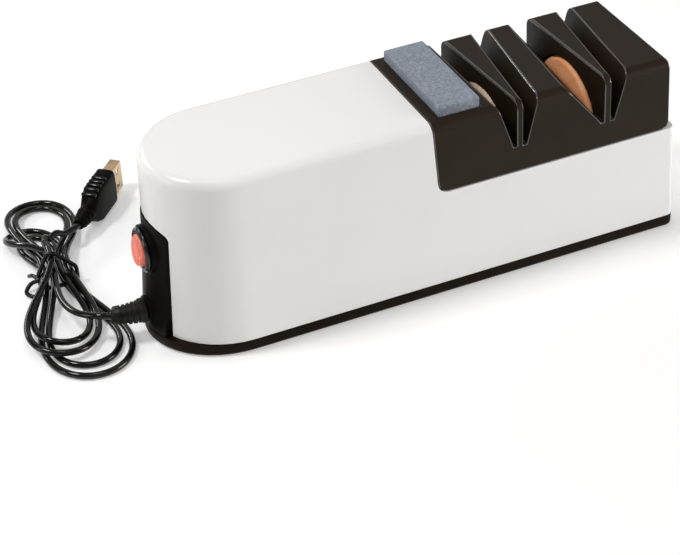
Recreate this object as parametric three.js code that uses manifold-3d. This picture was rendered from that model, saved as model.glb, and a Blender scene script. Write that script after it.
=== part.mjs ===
// Electric knife sharpener with two abrasive wheels, four knife slots, a whetstone and a tied USB cord.
// Millimetres, +Z up, +X from the half-round end towards the square end, standing on Z = 0.
import * as THREE from 'three';
import { mergeVertices } from 'three/addons/utils/BufferGeometryUtils.js';
import Module from 'manifold-3d';

const wasm = await Module();
wasm.setup();

// Driving sizes of the body: both ends lean in towards the top
const bodyLength = 206;
const bodyWidth = 56;
const topHeight = 75;
const noseLength = 29.7;
const noseLean = 2.2;
const endLean = 2.6;
const toeReach = 2.6;
const cornerRadius = 3;
const rimRadius = 4;
const wall = 2.4;
const footDrop = 0.4;
const bandHeight = 4.8;
const fit = 0.3;
const overrun = 2;

// Driving sizes of the guide block and its slots
const insertRun = 103.2;
const insertLean = 2.2;
const insertDepth = 29.3;
const insertEndInset = 5.4;
const insertEndLean = 0.7;
const insertWall = 2.4;
const slotDepth = 18.7;
const slotRoot = 1.5;
const slotEdge = 0.6;
const guideEdge = 1.4;

// The fins between the slots: places are shares of the guide block's length
const fineFin = {
  nearPlaceShare: 0.342, farPlaceShare: 0.3566, nearThickness: 2.4, farThickness: 12.4,
  leftNearGap: 7.7, leftFarGap: 5.6, rightNearGap: 6.2, rightFarGap: 6.6,
};
const coarseFin = {
  nearPlaceShare: 0.6957, farPlaceShare: 0.7132, nearThickness: 2.6, farThickness: 12.4,
  leftNearGap: 16.4, leftFarGap: 8.9, rightNearGap: 6.7, rightFarGap: 6,
};

// Driving sizes of the wheels and their drive
const wheelRadius = 20.7;
const wheelRunning = 1.1;
const wheelRoof = 5.4;
const fineWheel = { rimHalf: 3.4, hubHalf: 5.2 };
const coarseWheel = { rimHalf: 4.2, hubHalf: 6 };
const hubRadius = 7;
const rimRound = 1.9;
const shaftRadius = 3;
const motorRadius = 14.5;
const motorShaftRadius = 1.6;

// The run from the nose to the guide block is shared out between the board, the motor and the coupling
const boardStartShare = 0.136;
const boardLengthShare = 0.195;
const motorStartShare = 0.331;
const motorLengthShare = 0.37;
const couplingStartShare = 0.837;
const couplingLengthShare = 0.175;

// Heights and places worked out from the driving sizes
const halfWidth = bodyWidth / 2;
const bandTop = footDrop + bandHeight;
const insertTopStart = bodyLength - insertRun;
const insertFootStart = insertTopStart + insertLean;
const insertFloor = topHeight - insertDepth;
const insertEnd = bodyLength - insertEndInset;
const slotRootHeight = topHeight - slotDepth;
const axisHeight = topHeight - wheelRoof - wheelRunning - wheelRadius;
const fineCentre = insertTopStart + (insertRun * (fineFin.nearPlaceShare + fineFin.farPlaceShare)) / 2;
const coarseCentre = insertTopStart + (insertRun * (coarseFin.nearPlaceShare + coarseFin.farPlaceShare)) / 2;
const floorThickness = 2.2;
const floorTop = footDrop + floorThickness;

const materials = {
  whiteShell: finish(0xf1efec, 0.28, 0),
  blackPlastic: finish(0x171513, 0.42, 0),
  guidePlastic: finish(0x2c2926, 0.5, 0),
  redPlastic: finish(0xe8564a, 0.35, 0),
  stone: finish(0x8e97a3, 0.9, 0),
  orangeAbrasive: finish(0xd98a5c, 0.85, 0),
  ivoryAbrasive: finish(0xdcc3a4, 0.85, 0),
  cordRubber: finish(0x100f0e, 0.35, 0),
  steel: finish(0xb9bcc0, 0.3, 1),
  platedShell: finish(0xb59a72, 0.28, 1),
  tongue: finish(0xe9e7e2, 0.5, 0),
  bronze: finish(0xa7814d, 0.4, 1),
  board: finish(0x2f6b45, 0.6, 0),
  footRubber: finish(0x1d1d1d, 0.8, 0),
  framePlastic: finish(0x3a3a3a, 0.6, 0),
};

function finish(color, roughness, metalness) {
  return new THREE.MeshStandardMaterial({ color, roughness, metalness });
}

// Solids from closed geometry, and back

function toSolid(geometry) {
  const bare = geometry.index ? geometry.toNonIndexed() : geometry.clone();
  bare.deleteAttribute('normal');
  bare.deleteAttribute('uv');
  const merged = mergeVertices(bare);
  const index = merged.index.array;
  const triangles = [];
  for (let i = 0; i < index.length; i += 3) {
    const [a, b, c] = [index[i], index[i + 1], index[i + 2]];
    if (a !== b && b !== c && c !== a) triangles.push(a, b, c);
  }
  return new wasm.Manifold(new wasm.Mesh({
    numProp: 3,
    vertProperties: new Float32Array(merged.attributes.position.array),
    triVerts: new Uint32Array(triangles),
  }));
}

function toGeometry(solid) {
  const mesh = solid.getMesh();
  const geometry = new THREE.BufferGeometry();
  geometry.setAttribute('position', new THREE.BufferAttribute(new Float32Array(mesh.vertProperties), 3));
  geometry.setIndex(new THREE.BufferAttribute(new Uint32Array(mesh.triVerts), 1));
  geometry.computeVertexNormals();
  return geometry;
}

function join(...geometries) {
  return toGeometry(geometries.map(toSolid).reduce((sum, next) => sum.add(next)));
}

function cut(geometry, ...tools) {
  return toGeometry(tools.map(toSolid).reduce((rest, tool) => rest.subtract(tool), toSolid(geometry)));
}

function common(geometry, ...tools) {
  return toGeometry(tools.map(toSolid).reduce((rest, tool) => rest.intersect(tool), toSolid(geometry)));
}

// Closed solid through rings of points that turn counter-clockwise round the way they are stacked
function loft(rings) {
  const count = rings[0].length;
  const positions = rings.flat().flatMap((point) => [point.x, point.y, point.z]);
  const index = [];
  for (let ring = 0; ring + 1 < rings.length; ring += 1) {
    for (let side = 0; side < count; side += 1) {
      const a = ring * count + side;
      const b = ring * count + ((side + 1) % count);
      index.push(a, b, b + count, a, b + count, a + count);
    }
  }
  const last = (rings.length - 1) * count;
  const firstCentre = positions.length / 3;
  for (const ring of [rings[0], rings[rings.length - 1]]) {
    const centre = ring.reduce((sum, point) => sum.add(point), new THREE.Vector3()).divideScalar(count);
    positions.push(centre.x, centre.y, centre.z);
  }
  for (let side = 0; side < count; side += 1) {
    const next = (side + 1) % count;
    index.push(firstCentre, next, side);
    index.push(firstCentre + 1, last + side, last + next);
  }
  const geometry = new THREE.BufferGeometry();
  geometry.setAttribute('position', new THREE.Float32BufferAttribute(positions, 3));
  geometry.setIndex(index);
  geometry.computeVertexNormals();
  return geometry;
}

function boxBetween(low, high) {
  const size = high.clone().sub(low);
  const geometry = new THREE.BoxGeometry(size.x, size.y, size.z);
  geometry.translate((low.x + high.x) / 2, (low.y + high.y) / 2, (low.z + high.z) / 2);
  return geometry;
}

function block(x0, x1, y0, y1, z0, z1) {
  return boxBetween(new THREE.Vector3(x0, y0, z0), new THREE.Vector3(x1, y1, z1));
}

function rodAlongX(radius, x0, x1, y, z, sides = 32) {
  const geometry = new THREE.CylinderGeometry(radius, radius, x1 - x0, sides);
  geometry.rotateZ(-Math.PI / 2);
  geometry.translate((x0 + x1) / 2, y, z);
  return geometry;
}

function rodAlongY(radius, y0, y1, x, z, sides = 20) {
  const geometry = new THREE.CylinderGeometry(radius, radius, y1 - y0, sides);
  geometry.translate(x, (y0 + y1) / 2, z);
  return geometry;
}

function rodAlongZ(radius, z0, z1, x, y, sides = 16) {
  const geometry = new THREE.CylinderGeometry(radius, radius, z1 - z0, sides);
  geometry.rotateX(Math.PI / 2);
  geometry.translate(x, y, (z0 + z1) / 2);
  return geometry;
}

// A profile of [radius, place] pairs turned about X or about Z
function turnedAlongX(profile, segments) {
  const geometry = new THREE.LatheGeometry(profile.map(([r, x]) => new THREE.Vector2(r, x)), segments);
  const swap = new THREE.Matrix4().makeBasis(
    new THREE.Vector3(0, 0, 1), new THREE.Vector3(1, 0, 0), new THREE.Vector3(0, 1, 0));
  return geometry.applyMatrix4(swap);
}

function turnedAlongZ(profile, segments) {
  const geometry = new THREE.LatheGeometry(profile.map(([r, z]) => new THREE.Vector2(r, z)), segments);
  return geometry.rotateX(Math.PI / 2);
}

// A shape drawn in X and Z, run along Y
function prismAlongY(shape, y0, y1, curveSegments = 8) {
  const geometry = new THREE.ExtrudeGeometry(shape, { depth: y1 - y0, bevelEnabled: false, curveSegments });
  geometry.rotateX(Math.PI / 2);
  return geometry.translate(0, y1, 0);
}

// A shape drawn in Y and Z, run along X
function prismAlongX(shape, x0, x1, curveSegments = 8) {
  const geometry = new THREE.ExtrudeGeometry(shape, { depth: x1 - x0, bevelEnabled: false, curveSegments });
  const turn = new THREE.Matrix4().makeBasis(
    new THREE.Vector3(0, 1, 0), new THREE.Vector3(0, 0, 1), new THREE.Vector3(1, 0, 0));
  return geometry.applyMatrix4(turn).translate(x0, 0, 0);
}

function noseTip(height) {
  return (noseLean * height) / topHeight;
}

function bodyEnd(height) {
  return bodyLength - (endLean * height) / topHeight;
}

// Plan outline of the body, drawn in by an inset: two corner arcs and a half-oval nose
function planOutline(inset, height, tip = noseTip(height)) {
  const noseSteps = 22;
  const cornerSteps = 3;
  const half = halfWidth - inset;
  const nose = noseLength - tip - inset;
  const radius = Math.max(cornerRadius - inset, cornerRadius / 6);
  const centreX = bodyEnd(height) - inset - radius;
  const points = [];
  for (const [side, start] of [[-1, -Math.PI / 2], [1, 0]]) {
    for (let step = 0; step <= cornerSteps; step += 1) {
      const angle = start + (step / cornerSteps) * (Math.PI / 2);
      const x = centreX + radius * Math.cos(angle);
      const y = side * (half - radius) + radius * Math.sin(angle);
      points.push(new THREE.Vector3(x, y, height));
    }
  }
  for (let step = 0; step <= noseSteps; step += 1) {
    const angle = Math.PI / 2 + (step / noseSteps) * Math.PI;
    points.push(new THREE.Vector3(noseLength + nose * Math.cos(angle), half * Math.sin(angle), height));
  }
  return points;
}

// Body form from one height to another; with a rim it rounds over at the top
function bodyForm(inset, z0, z1, rim = 0) {
  const rimSteps = 4;
  const rings = [planOutline(inset, z0)];
  if (rim === 0) rings.push(planOutline(inset, z1));
  for (let step = 0; rim > 0 && step <= rimSteps; step += 1) {
    const angle = (step / rimSteps) * (Math.PI / 2);
    rings.push(planOutline(inset + rim * (1 - Math.cos(angle)), z1 - rim * (1 - Math.sin(angle))));
  }
  return loft(rings);
}

// Side outline of the guide block, in X and Z; a clearance above zero makes the opening for it
const footCorner = 4.5;
const heelCorner = 4;
const endEdge = 1.5;

function insertOutline(clearance, top) {
  const leanAt = (z) => insertTopStart + (insertLean * (topHeight - z)) / insertDepth - clearance;
  const endOf = (z) => insertEnd + (insertEndLean * (topHeight - z)) / insertDepth;
  const bottom = insertFloor - clearance;
  const heel = bottom + heelCorner;
  const shape = new THREE.Shape();
  shape.moveTo(leanAt(top), top);
  shape.lineTo(leanAt(bottom + footCorner), bottom + footCorner);
  shape.quadraticCurveTo(leanAt(bottom), bottom, leanAt(bottom) + footCorner, bottom);
  if (clearance > 0) {
    shape.lineTo(bodyLength + overrun, bottom);
    shape.lineTo(bodyLength + overrun, top);
  } else {
    shape.lineTo(endOf(bottom) - heelCorner, bottom);
    shape.quadraticCurveTo(endOf(bottom), bottom, endOf(heel), heel);
    shape.lineTo(endOf(top - endEdge), top - endEdge);
    shape.quadraticCurveTo(endOf(top), top, endOf(top) - endEdge, top);
  }
  shape.closePath();
  return shape;
}

// Section of the guide block across the body: straight sides with a rounded top
function acrossSection() {
  const shape = new THREE.Shape();
  shape.moveTo(-halfWidth, insertFloor - overrun);
  shape.lineTo(halfWidth, insertFloor - overrun);
  shape.lineTo(halfWidth, topHeight - rimRadius);
  shape.absarc(halfWidth - rimRadius, topHeight - rimRadius, rimRadius, 0, Math.PI / 2, false);
  shape.absarc(-halfWidth + rimRadius, topHeight - rimRadius, rimRadius, Math.PI / 2, Math.PI, false);
  shape.closePath();
  return shape;
}

// Four screw bosses under the shell
const frontBoss = 30;
const rearBossInset = 10;
const bossRadius = 3.6;
const bossBite = 0.5;
const bossOffset = halfWidth - wall - bossRadius + bossBite;
const bossTop = insertFloor - 2 * wall;
const pilotRadius = 1.6;
const pilotTop = 22;
const bossPlaces = [frontBoss, bodyLength - rearBossInset];
const bossSpots = bossPlaces.flatMap((x) => [[x, -bossOffset], [x, bossOffset]]);

// Window of the end panel, in Y and Z
const panelFootHalf = 12;
const panelHeadHalf = 13.3;
const panelShoulder = 48.3;
const panelCrown = 50.6;
const panelInset = 0.4;
const panelThickness = 2.2;
const panelHeadTip = 1.1;
const panelBowShare = 1.2;

function panelOutline(grow, bottom) {
  const corner = 1.6;
  const head = panelHeadHalf + grow;
  const shoulder = panelShoulder + grow;
  const crown = panelCrown + grow;
  const shape = new THREE.Shape();
  shape.moveTo(-panelFootHalf - grow, bottom);
  shape.lineTo(panelFootHalf + grow, bottom);
  shape.lineTo(head, shoulder - corner);
  shape.quadraticCurveTo(head, shoulder, head - corner, shoulder + corner / 2);
  shape.quadraticCurveTo(head / 2, crown, 0, crown);
  shape.quadraticCurveTo(-head / 2, crown, -head + corner, shoulder + corner / 2);
  shape.quadraticCurveTo(-head, shoulder, -head, shoulder - corner);
  shape.closePath();
  return shape;
}

// White shell: open below and over the guide block, with a ledge, a bulkhead and four bosses
const ledgeThickness = 2.7;
const ledgeMargin = 2.5;
const shaftSlotHalf = 5.5;
const bulkheadStart = insertTopStart - fit - wall;

function shaftSlot(x0, x1) {
  return block(x0 - overrun, x1 + overrun, -shaftSlotHalf, shaftSlotHalf,
    insertFloor - ledgeThickness - overrun, axisHeight + shaftSlotHalf);
}

function makeHousing() {
  const ledgeFloor = insertFloor - ledgeThickness;
  const sideReach = wheelRadius + wheelRunning / 2;
  const outer = bodyForm(0, bandTop + fit, topHeight, rimRadius);
  const cavity = bodyForm(wall, bandTop + fit - overrun, topHeight - wall, rimRadius - wall / 2);
  const webs = common(
    bodyForm(wall / 2, ledgeFloor, topHeight - wall / 2, rimRadius),
    join(
      block(bulkheadStart, bodyLength, -halfWidth, halfWidth, ledgeFloor - overrun, insertFloor),
      block(bulkheadStart, insertFootStart, -halfWidth, halfWidth, ledgeFloor - overrun, topHeight)));
  const ledgeOpening = block(
    insertFootStart + ledgeMargin, insertEnd - ledgeMargin, -sideReach, sideReach,
    ledgeFloor - overrun, insertFloor + overrun);
  const insertCut = prismAlongY(
    insertOutline(fit, topHeight + overrun), -halfWidth - overrun, halfWidth + overrun);
  const panelCut = prismAlongX(panelOutline(fit, bandTop - overrun), -overrun, noseLength / 3, 6);
  const bosses = bossSpots.map(([x, y]) => rodAlongZ(bossRadius, bandTop + fit, bossTop, x, y));
  const pilots = bossSpots.map(([x, y]) => rodAlongZ(pilotRadius, bandTop - overrun, pilotTop, x, y, 12));
  const shell = join(cut(outer, cavity), webs, ...bosses);
  const slot = shaftSlot(bulkheadStart, insertFootStart + ledgeMargin);
  return cut(shell, insertCut, ledgeOpening, slot, panelCut, ...pilots);
}

// The panel bows out from the nose towards the base
function panelTip(height) {
  const share = Math.max((panelCrown - height) / (panelCrown - bandTop), 0);
  return panelHeadTip - (panelHeadTip + toeReach) * share ** panelBowShare;
}

function panelForm(inset) {
  const steps = 5;
  const rings = [planOutline(inset, bandTop - overrun, panelTip(bandTop))];
  for (let step = 0; step <= steps; step += 1) {
    const height = bandTop + ((panelCrown - bandTop) * step) / steps;
    rings.push(planOutline(inset, height, panelTip(height)));
  }
  rings.push(planOutline(inset, topHeight, panelTip(topHeight)));
  return loft(rings);
}

// A knife slot: an upright face on the fin and a slanted guide wall, both running on past the block
function slotCutter(fin, side, edge) {
  const left = side < 0;
  const gaps = left ? [fin.leftNearGap, fin.leftFarGap] : [fin.rightNearGap, fin.rightFarGap];
  const nearFace = insertTopStart + insertRun * fin.nearPlaceShare + (side * fin.nearThickness) / 2;
  const farFace = insertTopStart + insertRun * fin.farPlaceShare + (side * fin.farThickness) / 2;
  const section = (y) => {
    const share = (y + halfWidth) / bodyWidth;
    const face = nearFace + (farFace - nearFace) * share;
    const guide = face + side * (gaps[0] + (gaps[1] - gaps[0]) * share);
    const root = face + side * slotRoot;
    const slope = (guide - root) / slotDepth;
    const points = [
      [face - side * slotEdge, topHeight + overrun],
      [face - side * slotEdge, topHeight],
      [face, topHeight - slotEdge],
      [face, slotRootHeight],
      [root, slotRootHeight],
      [guide - slope * edge, topHeight - edge],
      [guide + side * edge / 2, topHeight],
      [guide + side * edge / 2, topHeight + overrun],
    ].map(([x, z]) => new THREE.Vector3(x, y, z));
    return left ? points.reverse() : points;
  };
  return loft([section(halfWidth + overrun), section(-halfWidth - overrun)]);
}

// Wheel outline as radius and place: flat hub, gently domed sides and a rounded rim, all grown by a clearance
function wheelOutline(wheel, clearance) {
  const steps = 3;
  const domeShare = 1.4;
  const shoulder = wheelRadius - rimRound;
  const half = [];
  for (let step = 0; step <= steps; step += 1) {
    const share = step / steps;
    const dome = wheel.hubHalf + (wheel.rimHalf - wheel.hubHalf) * share ** domeShare;
    half.push([hubRadius + (shoulder - hubRadius) * share, dome + clearance]);
  }
  for (let step = 1; step <= steps; step += 1) {
    const angle = ((step / steps) * Math.PI) / 2;
    const reach = rimRound + clearance;
    half.push([shoulder + reach * Math.sin(angle), wheel.rimHalf - rimRound + reach * Math.cos(angle)]);
  }
  return half;
}

function wheelPocket(centre, wheel) {
  const side = wheelOutline(wheel, wheelRunning);
  const first = [0, side[0][1]];
  const low = [first, ...side].map(([r, x]) => [r, -x]);
  const high = [first, ...side].reverse();
  return turnedAlongX([...low, ...high], 32).translate(centre, 0, axisHeight);
}

function makeWheel(centre, wheel) {
  const bore = shaftRadius + fit;
  const side = wheelOutline(wheel, 0);
  const first = [bore, side[0][1]];
  const low = [first, ...side].map(([r, x]) => [r, -x]);
  const high = [first, ...side].reverse();
  return turnedAlongX([...low, ...high, low[0]], 36).translate(centre, 0, axisHeight);
}

// Whetstone and its shallow seat
const stoneWidthShare = 0.158;
const stoneLength = 46.8;
const stoneThickness = 4.5;
const stoneSeat = 0.7;
const stoneMarginShare = 0.0456;
const stoneWidth = insertRun * stoneWidthShare;
const stoneMargin = insertRun * stoneMarginShare;

function stoneBox(grow, z0, z1) {
  const x0 = insertTopStart + stoneMargin;
  return block(x0 - grow, x0 + stoneWidth + grow, -stoneLength / 2 - grow, stoneLength / 2 + grow, z0, z1);
}

function makeSlotInsert() {
  const underSlots = 1.8;
  const headRoom = 3.2;
  const hollowHalf = halfWidth - insertWall;
  const form = common(
    prismAlongY(insertOutline(0, topHeight), -halfWidth - overrun, halfWidth + overrun),
    prismAlongX(acrossSection(), insertTopStart - overrun, insertEnd + overrun, 6));
  const hollowStart = insertFootStart + insertWall;
  const hollowEnd = insertEnd - insertWall;
  const slotsStart = insertRun * fineFin.farPlaceShare - fineFin.farThickness / 2 - fineFin.leftFarGap;
  const slotsEnd = insertRun * coarseFin.farPlaceShare + coarseFin.farThickness / 2 + coarseFin.rightFarGap;
  const floorZ = insertFloor - overrun;
  const hollow = block(hollowStart, hollowEnd, -hollowHalf, hollowHalf, floorZ, slotRootHeight - underSlots);
  const underFlat = block(
    hollowStart, insertTopStart + slotsStart - insertWall, -hollowHalf + insertWall, hollowHalf - insertWall,
    floorZ, topHeight - headRoom - stoneSeat);
  const underEnd = block(
    insertTopStart + slotsEnd + insertWall, hollowEnd, -hollowHalf + insertWall, hollowHalf - insertWall,
    floorZ, topHeight - headRoom);
  const slots = [
    slotCutter(fineFin, -1, guideEdge), slotCutter(fineFin, 1, slotEdge),
    slotCutter(coarseFin, -1, slotEdge), slotCutter(coarseFin, 1, slotEdge),
  ];
  return cut(
    form, hollow, underFlat, underEnd, ...slots,
    wheelPocket(fineCentre, fineWheel), wheelPocket(coarseCentre, coarseWheel),
    shaftSlot(insertTopStart, hollowStart),
    stoneBox(fit, topHeight - stoneSeat, topHeight + overrun));
}

function makeWhetstone() {
  const bevel = 0.5;
  const x0 = insertTopStart + stoneMargin;
  const z0 = topHeight - stoneSeat + fit;
  const z1 = z0 + stoneThickness;
  const ring = (inset, z) => [
    [x0 + inset, -stoneLength / 2 + inset], [x0 + stoneWidth - inset, -stoneLength / 2 + inset],
    [x0 + stoneWidth - inset, stoneLength / 2 - inset], [x0 + inset, stoneLength / 2 - inset],
  ].map(([x, y]) => new THREE.Vector3(x, y, z));
  return loft([ring(0, z0), ring(0, z1 - bevel), ring(bevel, z1)]);
}

// Base: a shallow tray whose rim is the black band, with a lip inside the housing
const frontFoot = 19;
const rearFootInset = 23;
const footOffset = 13.5;
const footPlaces = [frontFoot, bodyLength - rearFootInset];
const footSpots = footPlaces.flatMap((x) => [[x, -footOffset], [x, footOffset]]);
const footRadius = 5.5;
const footHeight = 1.4;
const headRadius = 2.7;
const headHeight = 1.4;
const boardStart = insertTopStart * boardStartShare;
const boardLength = insertTopStart * boardLengthShare;
const boardHalf = 12;
const boardThickness = 1.6;
const standoffRadius = 1.8;
const standoffHeight = 5;
const standoffMargin = 3;
const boardSpots = [boardStart + standoffMargin, boardStart + boardLength - standoffMargin]
  .flatMap((x) => [[x, standoffMargin - boardHalf], [x, boardHalf - standoffMargin]]);

function makeBasePlate() {
  const underTaper = 0.9;
  const lipHeight = 3;
  const lipThickness = 1.6;
  const lipStart = 14;
  const padRadius = 4.4;
  const outer = loft([
    planOutline(underTaper, footDrop, -toeReach),
    planOutline(underTaper / 4, footDrop + underTaper, -toeReach),
    planOutline(0, bandTop, -toeReach),
  ]);
  const tray = bodyForm(wall + fit + lipThickness, floorTop, bandTop + overrun);
  const lip = cut(
    bodyForm(wall + fit, floorTop, bandTop + lipHeight),
    bodyForm(wall + fit + lipThickness, floorTop - overrun, bandTop + lipHeight + overrun),
    block(-overrun, lipStart, -halfWidth, halfWidth, floorTop - overrun, topHeight));
  const bossRoom = bossSpots.map(([x, y]) => (
    rodAlongZ(bossRadius + fit, bandTop, bandTop + lipHeight + overrun, x, y)));
  const pads = bossSpots.map(([x, y]) => rodAlongZ(padRadius, floorTop - floorThickness / 2, bandTop, x, y));
  const standoffs = boardSpots.map(([x, y]) => (
    rodAlongZ(standoffRadius, floorTop - floorThickness / 2, floorTop + standoffHeight, x, y, 12)));
  const holes = bossSpots.flatMap(([x, y]) => [
    rodAlongZ(pilotRadius, footDrop - overrun, bandTop + overrun, x, y, 12),
    rodAlongZ(headRadius + fit, footDrop - overrun, footDrop + headHeight + 2 * fit, x, y),
  ]);
  const recesses = footSpots.map(([x, y]) => (
    rodAlongZ(footRadius + fit, footDrop - overrun, footHeight + fit, x, y)));
  const body = join(cut(outer, tray), cut(lip, ...bossRoom), ...pads, ...standoffs);
  return cut(body, ...holes, ...recesses);
}

function makeFoot([x, y]) {
  const profile = [
    [0, 0], [footRadius - footHeight / 3, 0], [footRadius, footHeight / 3], [footRadius, footHeight],
    [0, footHeight],
  ];
  return turnedAlongZ(profile, 20).translate(x, y, 0);
}

function makeBaseScrew([x, y]) {
  const shankRadius = pilotRadius - fit;
  const headFoot = footDrop + fit;
  const headTop = headFoot + headHeight;
  const profile = [
    [0, headFoot], [headRadius - headHeight / 3, headFoot], [headRadius, headFoot + headHeight / 2],
    [headRadius, headTop], [shankRadius, headTop], [shankRadius, pilotTop - 2 * wall], [0, pilotTop - wall],
  ];
  return turnedAlongZ(profile, 12).translate(x, y, 0);
}

// Switch: a round body in the end panel, with a rocker on two pins
const switchHeight = 37.9;
const switchFlangeRadius = 8.6;
const switchFlangeDepth = 1.3;
const switchBodyRadius = 7.6;
const switchBodyDepth = 13;
const switchPad = 0.1;
const switchPadRadius = switchFlangeRadius + 2 * fit;
const pivotDepth = 1.3;
const pocketRadius = 6.5;
const pocketDepth = 7.5;
const rockerRadius = 6.15;
const rockerFace = 2.3;
const rockerBack = 3.2;
const rockerTilt = THREE.MathUtils.degToRad(10);
const pinRadius = 0.6;
const pinHalf = 6.8;
const padFront = panelTip(switchHeight - switchPadRadius) - switchPad;
const flangeBack = padFront - fit;
const flangeFront = flangeBack - switchFlangeDepth;
const pivotX = flangeFront + pivotDepth;
const reliefHeight = 11.6;
const reliefPadDepth = 5.6;
const neckRadius = 3;
const collarRadius = 4.7;
const reliefRoot = panelTip(reliefHeight - collarRadius);

function makeEndPanel() {
  const padBack = noseLength / 6;
  const reliefPadRadius = collarRadius + 2 * fit;
  const reach = 2 * toeReach;
  const depth = noseLength / 3;
  const window = (grow) => prismAlongX(panelOutline(grow, bandTop + fit - grow), -reach, depth, 6);
  const skin = cut(
    panelForm(0), bodyForm(panelInset + panelThickness, bandTop - 2 * overrun, topHeight + overrun),
    common(panelForm(panelThickness), window(-panelThickness)));
  const pads = [
    rodAlongX(switchPadRadius, padFront, padBack, 0, switchHeight, 32),
    rodAlongX(reliefPadRadius, reliefRoot, reliefRoot + reliefPadDepth, 0, reliefHeight, 20),
  ];
  const hole = rodAlongX(switchBodyRadius + fit, -reach, noseLength, 0, switchHeight, 32);
  const neckHole = rodAlongX(neckRadius + fit, -reach, noseLength, 0, reliefHeight, 20);
  return cut(common(join(skin, ...pads), window(0)), hole, neckHole);
}

function makeSwitchBody() {
  const bladeWidth = 4.8;
  const bladeThickness = 0.8;
  const bladeLength = 7.5;
  const bladePitch = 5;
  const edge = 0.7;
  const bodyBack = flangeBack + switchBodyDepth;
  const profile = [
    [0, flangeFront], [switchFlangeRadius - edge, flangeFront], [switchFlangeRadius, flangeFront + edge],
    [switchFlangeRadius, flangeBack], [switchBodyRadius, flangeBack],
    [switchBodyRadius, bodyBack], [0, bodyBack],
  ];
  const form = turnedAlongX(profile, 32).translate(0, 0, switchHeight);
  const blades = [-1, 0, 1].map((step) => {
    const z = switchHeight + step * bladePitch;
    return block(bodyBack - bladeThickness, bodyBack + bladeLength, -bladeWidth / 2, bladeWidth / 2,
      z - bladeThickness / 2, z + bladeThickness / 2);
  });
  const pocketBack = flangeFront + pocketDepth;
  const pocket = rodAlongX(pocketRadius, flangeFront - overrun, pocketBack, 0, switchHeight, 32);
  const pinHoles = rodAlongY(pinRadius + fit, -pinHalf - fit, pinHalf + fit, pivotX, switchHeight, 12);
  return cut(join(form, ...blades), pocket, pinHoles);
}

// Rocker about its own pivot: a slice of a ball with a dished face
function makeRocker() {
  const dish = 0.5;
  const dishShare = 0.75;
  const steps = 4;
  const faceRadius = Math.sqrt(rockerRadius ** 2 - rockerFace ** 2);
  const start = Math.atan2(-rockerFace, faceRadius);
  const end = Math.atan2(rockerBack, Math.sqrt(rockerRadius ** 2 - rockerBack ** 2));
  const profile = [[0, -rockerFace + dish], [faceRadius / 2, -rockerFace + dish * dishShare]];
  for (let step = 0; step <= steps; step += 1) {
    const angle = start + ((end - start) * step) / steps;
    profile.push([rockerRadius * Math.cos(angle), rockerRadius * Math.sin(angle)]);
  }
  profile.push([0, rockerBack]);
  return join(turnedAlongX(profile, 28), rodAlongY(pinRadius, -pinHalf, pinHalf, 0, 0, 12));
}

// Tube through points with a radius for each, closed at both ends
function tube(points, radii, sides) {
  const rings = [];
  let side = null;
  points.forEach((point, i) => {
    const before = points[Math.max(i - 1, 0)];
    const after = points[Math.min(i + 1, points.length - 1)];
    const along = after.clone().sub(before).normalize();
    if (!side) side = new THREE.Vector3(0, 0, 1).cross(along).normalize();
    side.addScaledVector(along, -side.dot(along)).normalize();
    const up = along.clone().cross(side);
    const radius = Array.isArray(radii) ? radii[i] : radii;
    const ring = [];
    for (let k = 0; k < sides; k += 1) {
      const angle = (k / sides) * 2 * Math.PI;
      const spoke = side.clone().multiplyScalar(radius * Math.cos(angle));
      ring.push(point.clone().add(spoke).addScaledVector(up, radius * Math.sin(angle)));
    }
    rings.push(ring);
  });
  return loft(rings);
}

// Strain relief: two flanges on a neck, then ribs that taper along a gentle bend towards the far side
const cordRadius = 1.3;
const reliefLength = 12.5;
const reliefTurn = THREE.MathUtils.degToRad(21);
const reliefTipRadius = 3.4;

function reliefPoint(distance) {
  const straight = 2.5;
  const bend = reliefLength - straight;
  if (distance <= straight) return new THREE.Vector3(reliefRoot - distance, 0, reliefHeight);
  const angle = (reliefTurn * (distance - straight)) / bend;
  const radius = bend / reliefTurn;
  const x = reliefRoot - straight - radius * Math.sin(angle);
  return new THREE.Vector3(x, radius * (1 - Math.cos(angle)), reliefHeight);
}

function makeStrainRelief() {
  const innerFlange = 4.6;
  const flangeThickness = 2;
  const collarThickness = 2.1;
  const ribCount = 5;
  const step = 0.02;
  const ribInset = 0.5;
  const grooveShare = 0.78;
  const landShare = 0.34;
  const ribEndShare = 0.97;
  const back = reliefPadDepth + fit;
  const stations = [[-back - flangeThickness, innerFlange], [-back, innerFlange], [-back + step, neckRadius]];
  stations.push([fit, neckRadius], [fit + step, collarRadius - step], [fit + collarThickness, collarRadius]);
  const pitch = (reliefLength - fit - collarThickness) / ribCount;
  for (let rib = 0; rib < ribCount; rib += 1) {
    const start = fit + collarThickness + rib * pitch;
    const widest = collarRadius - ribInset;
    const radius = widest + ((reliefTipRadius - widest) * rib) / (ribCount - 1);
    stations.push([start + step, radius * grooveShare], [start + pitch * landShare, radius * grooveShare]);
    stations.push([start + pitch * landShare + step, radius], [start + pitch, radius * ribEndShare]);
  }
  const points = stations.map(([distance]) => reliefPoint(distance));
  return tube(points, stations.map(([, radius]) => radius), 14);
}

// Cord bundle: a figure of eight of four loops tied round its waist. Half-loops go out from the waist on
// one side of its long axis, turn, and come back on the other; those listed first lie lowest.
const cordPitch = 3.3;
const cordGround = 1.35;
const waistX = -22;
const waistY = 48.75;
const waistAngle = THREE.MathUtils.degToRad(6.4);
const waistStraight = 12;
const waistFace = 9;
const tieLift = 1.9;
const tieLiftEnd = 24;
const cordSides = 6;
const sidewaysShare = 0.6;

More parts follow.
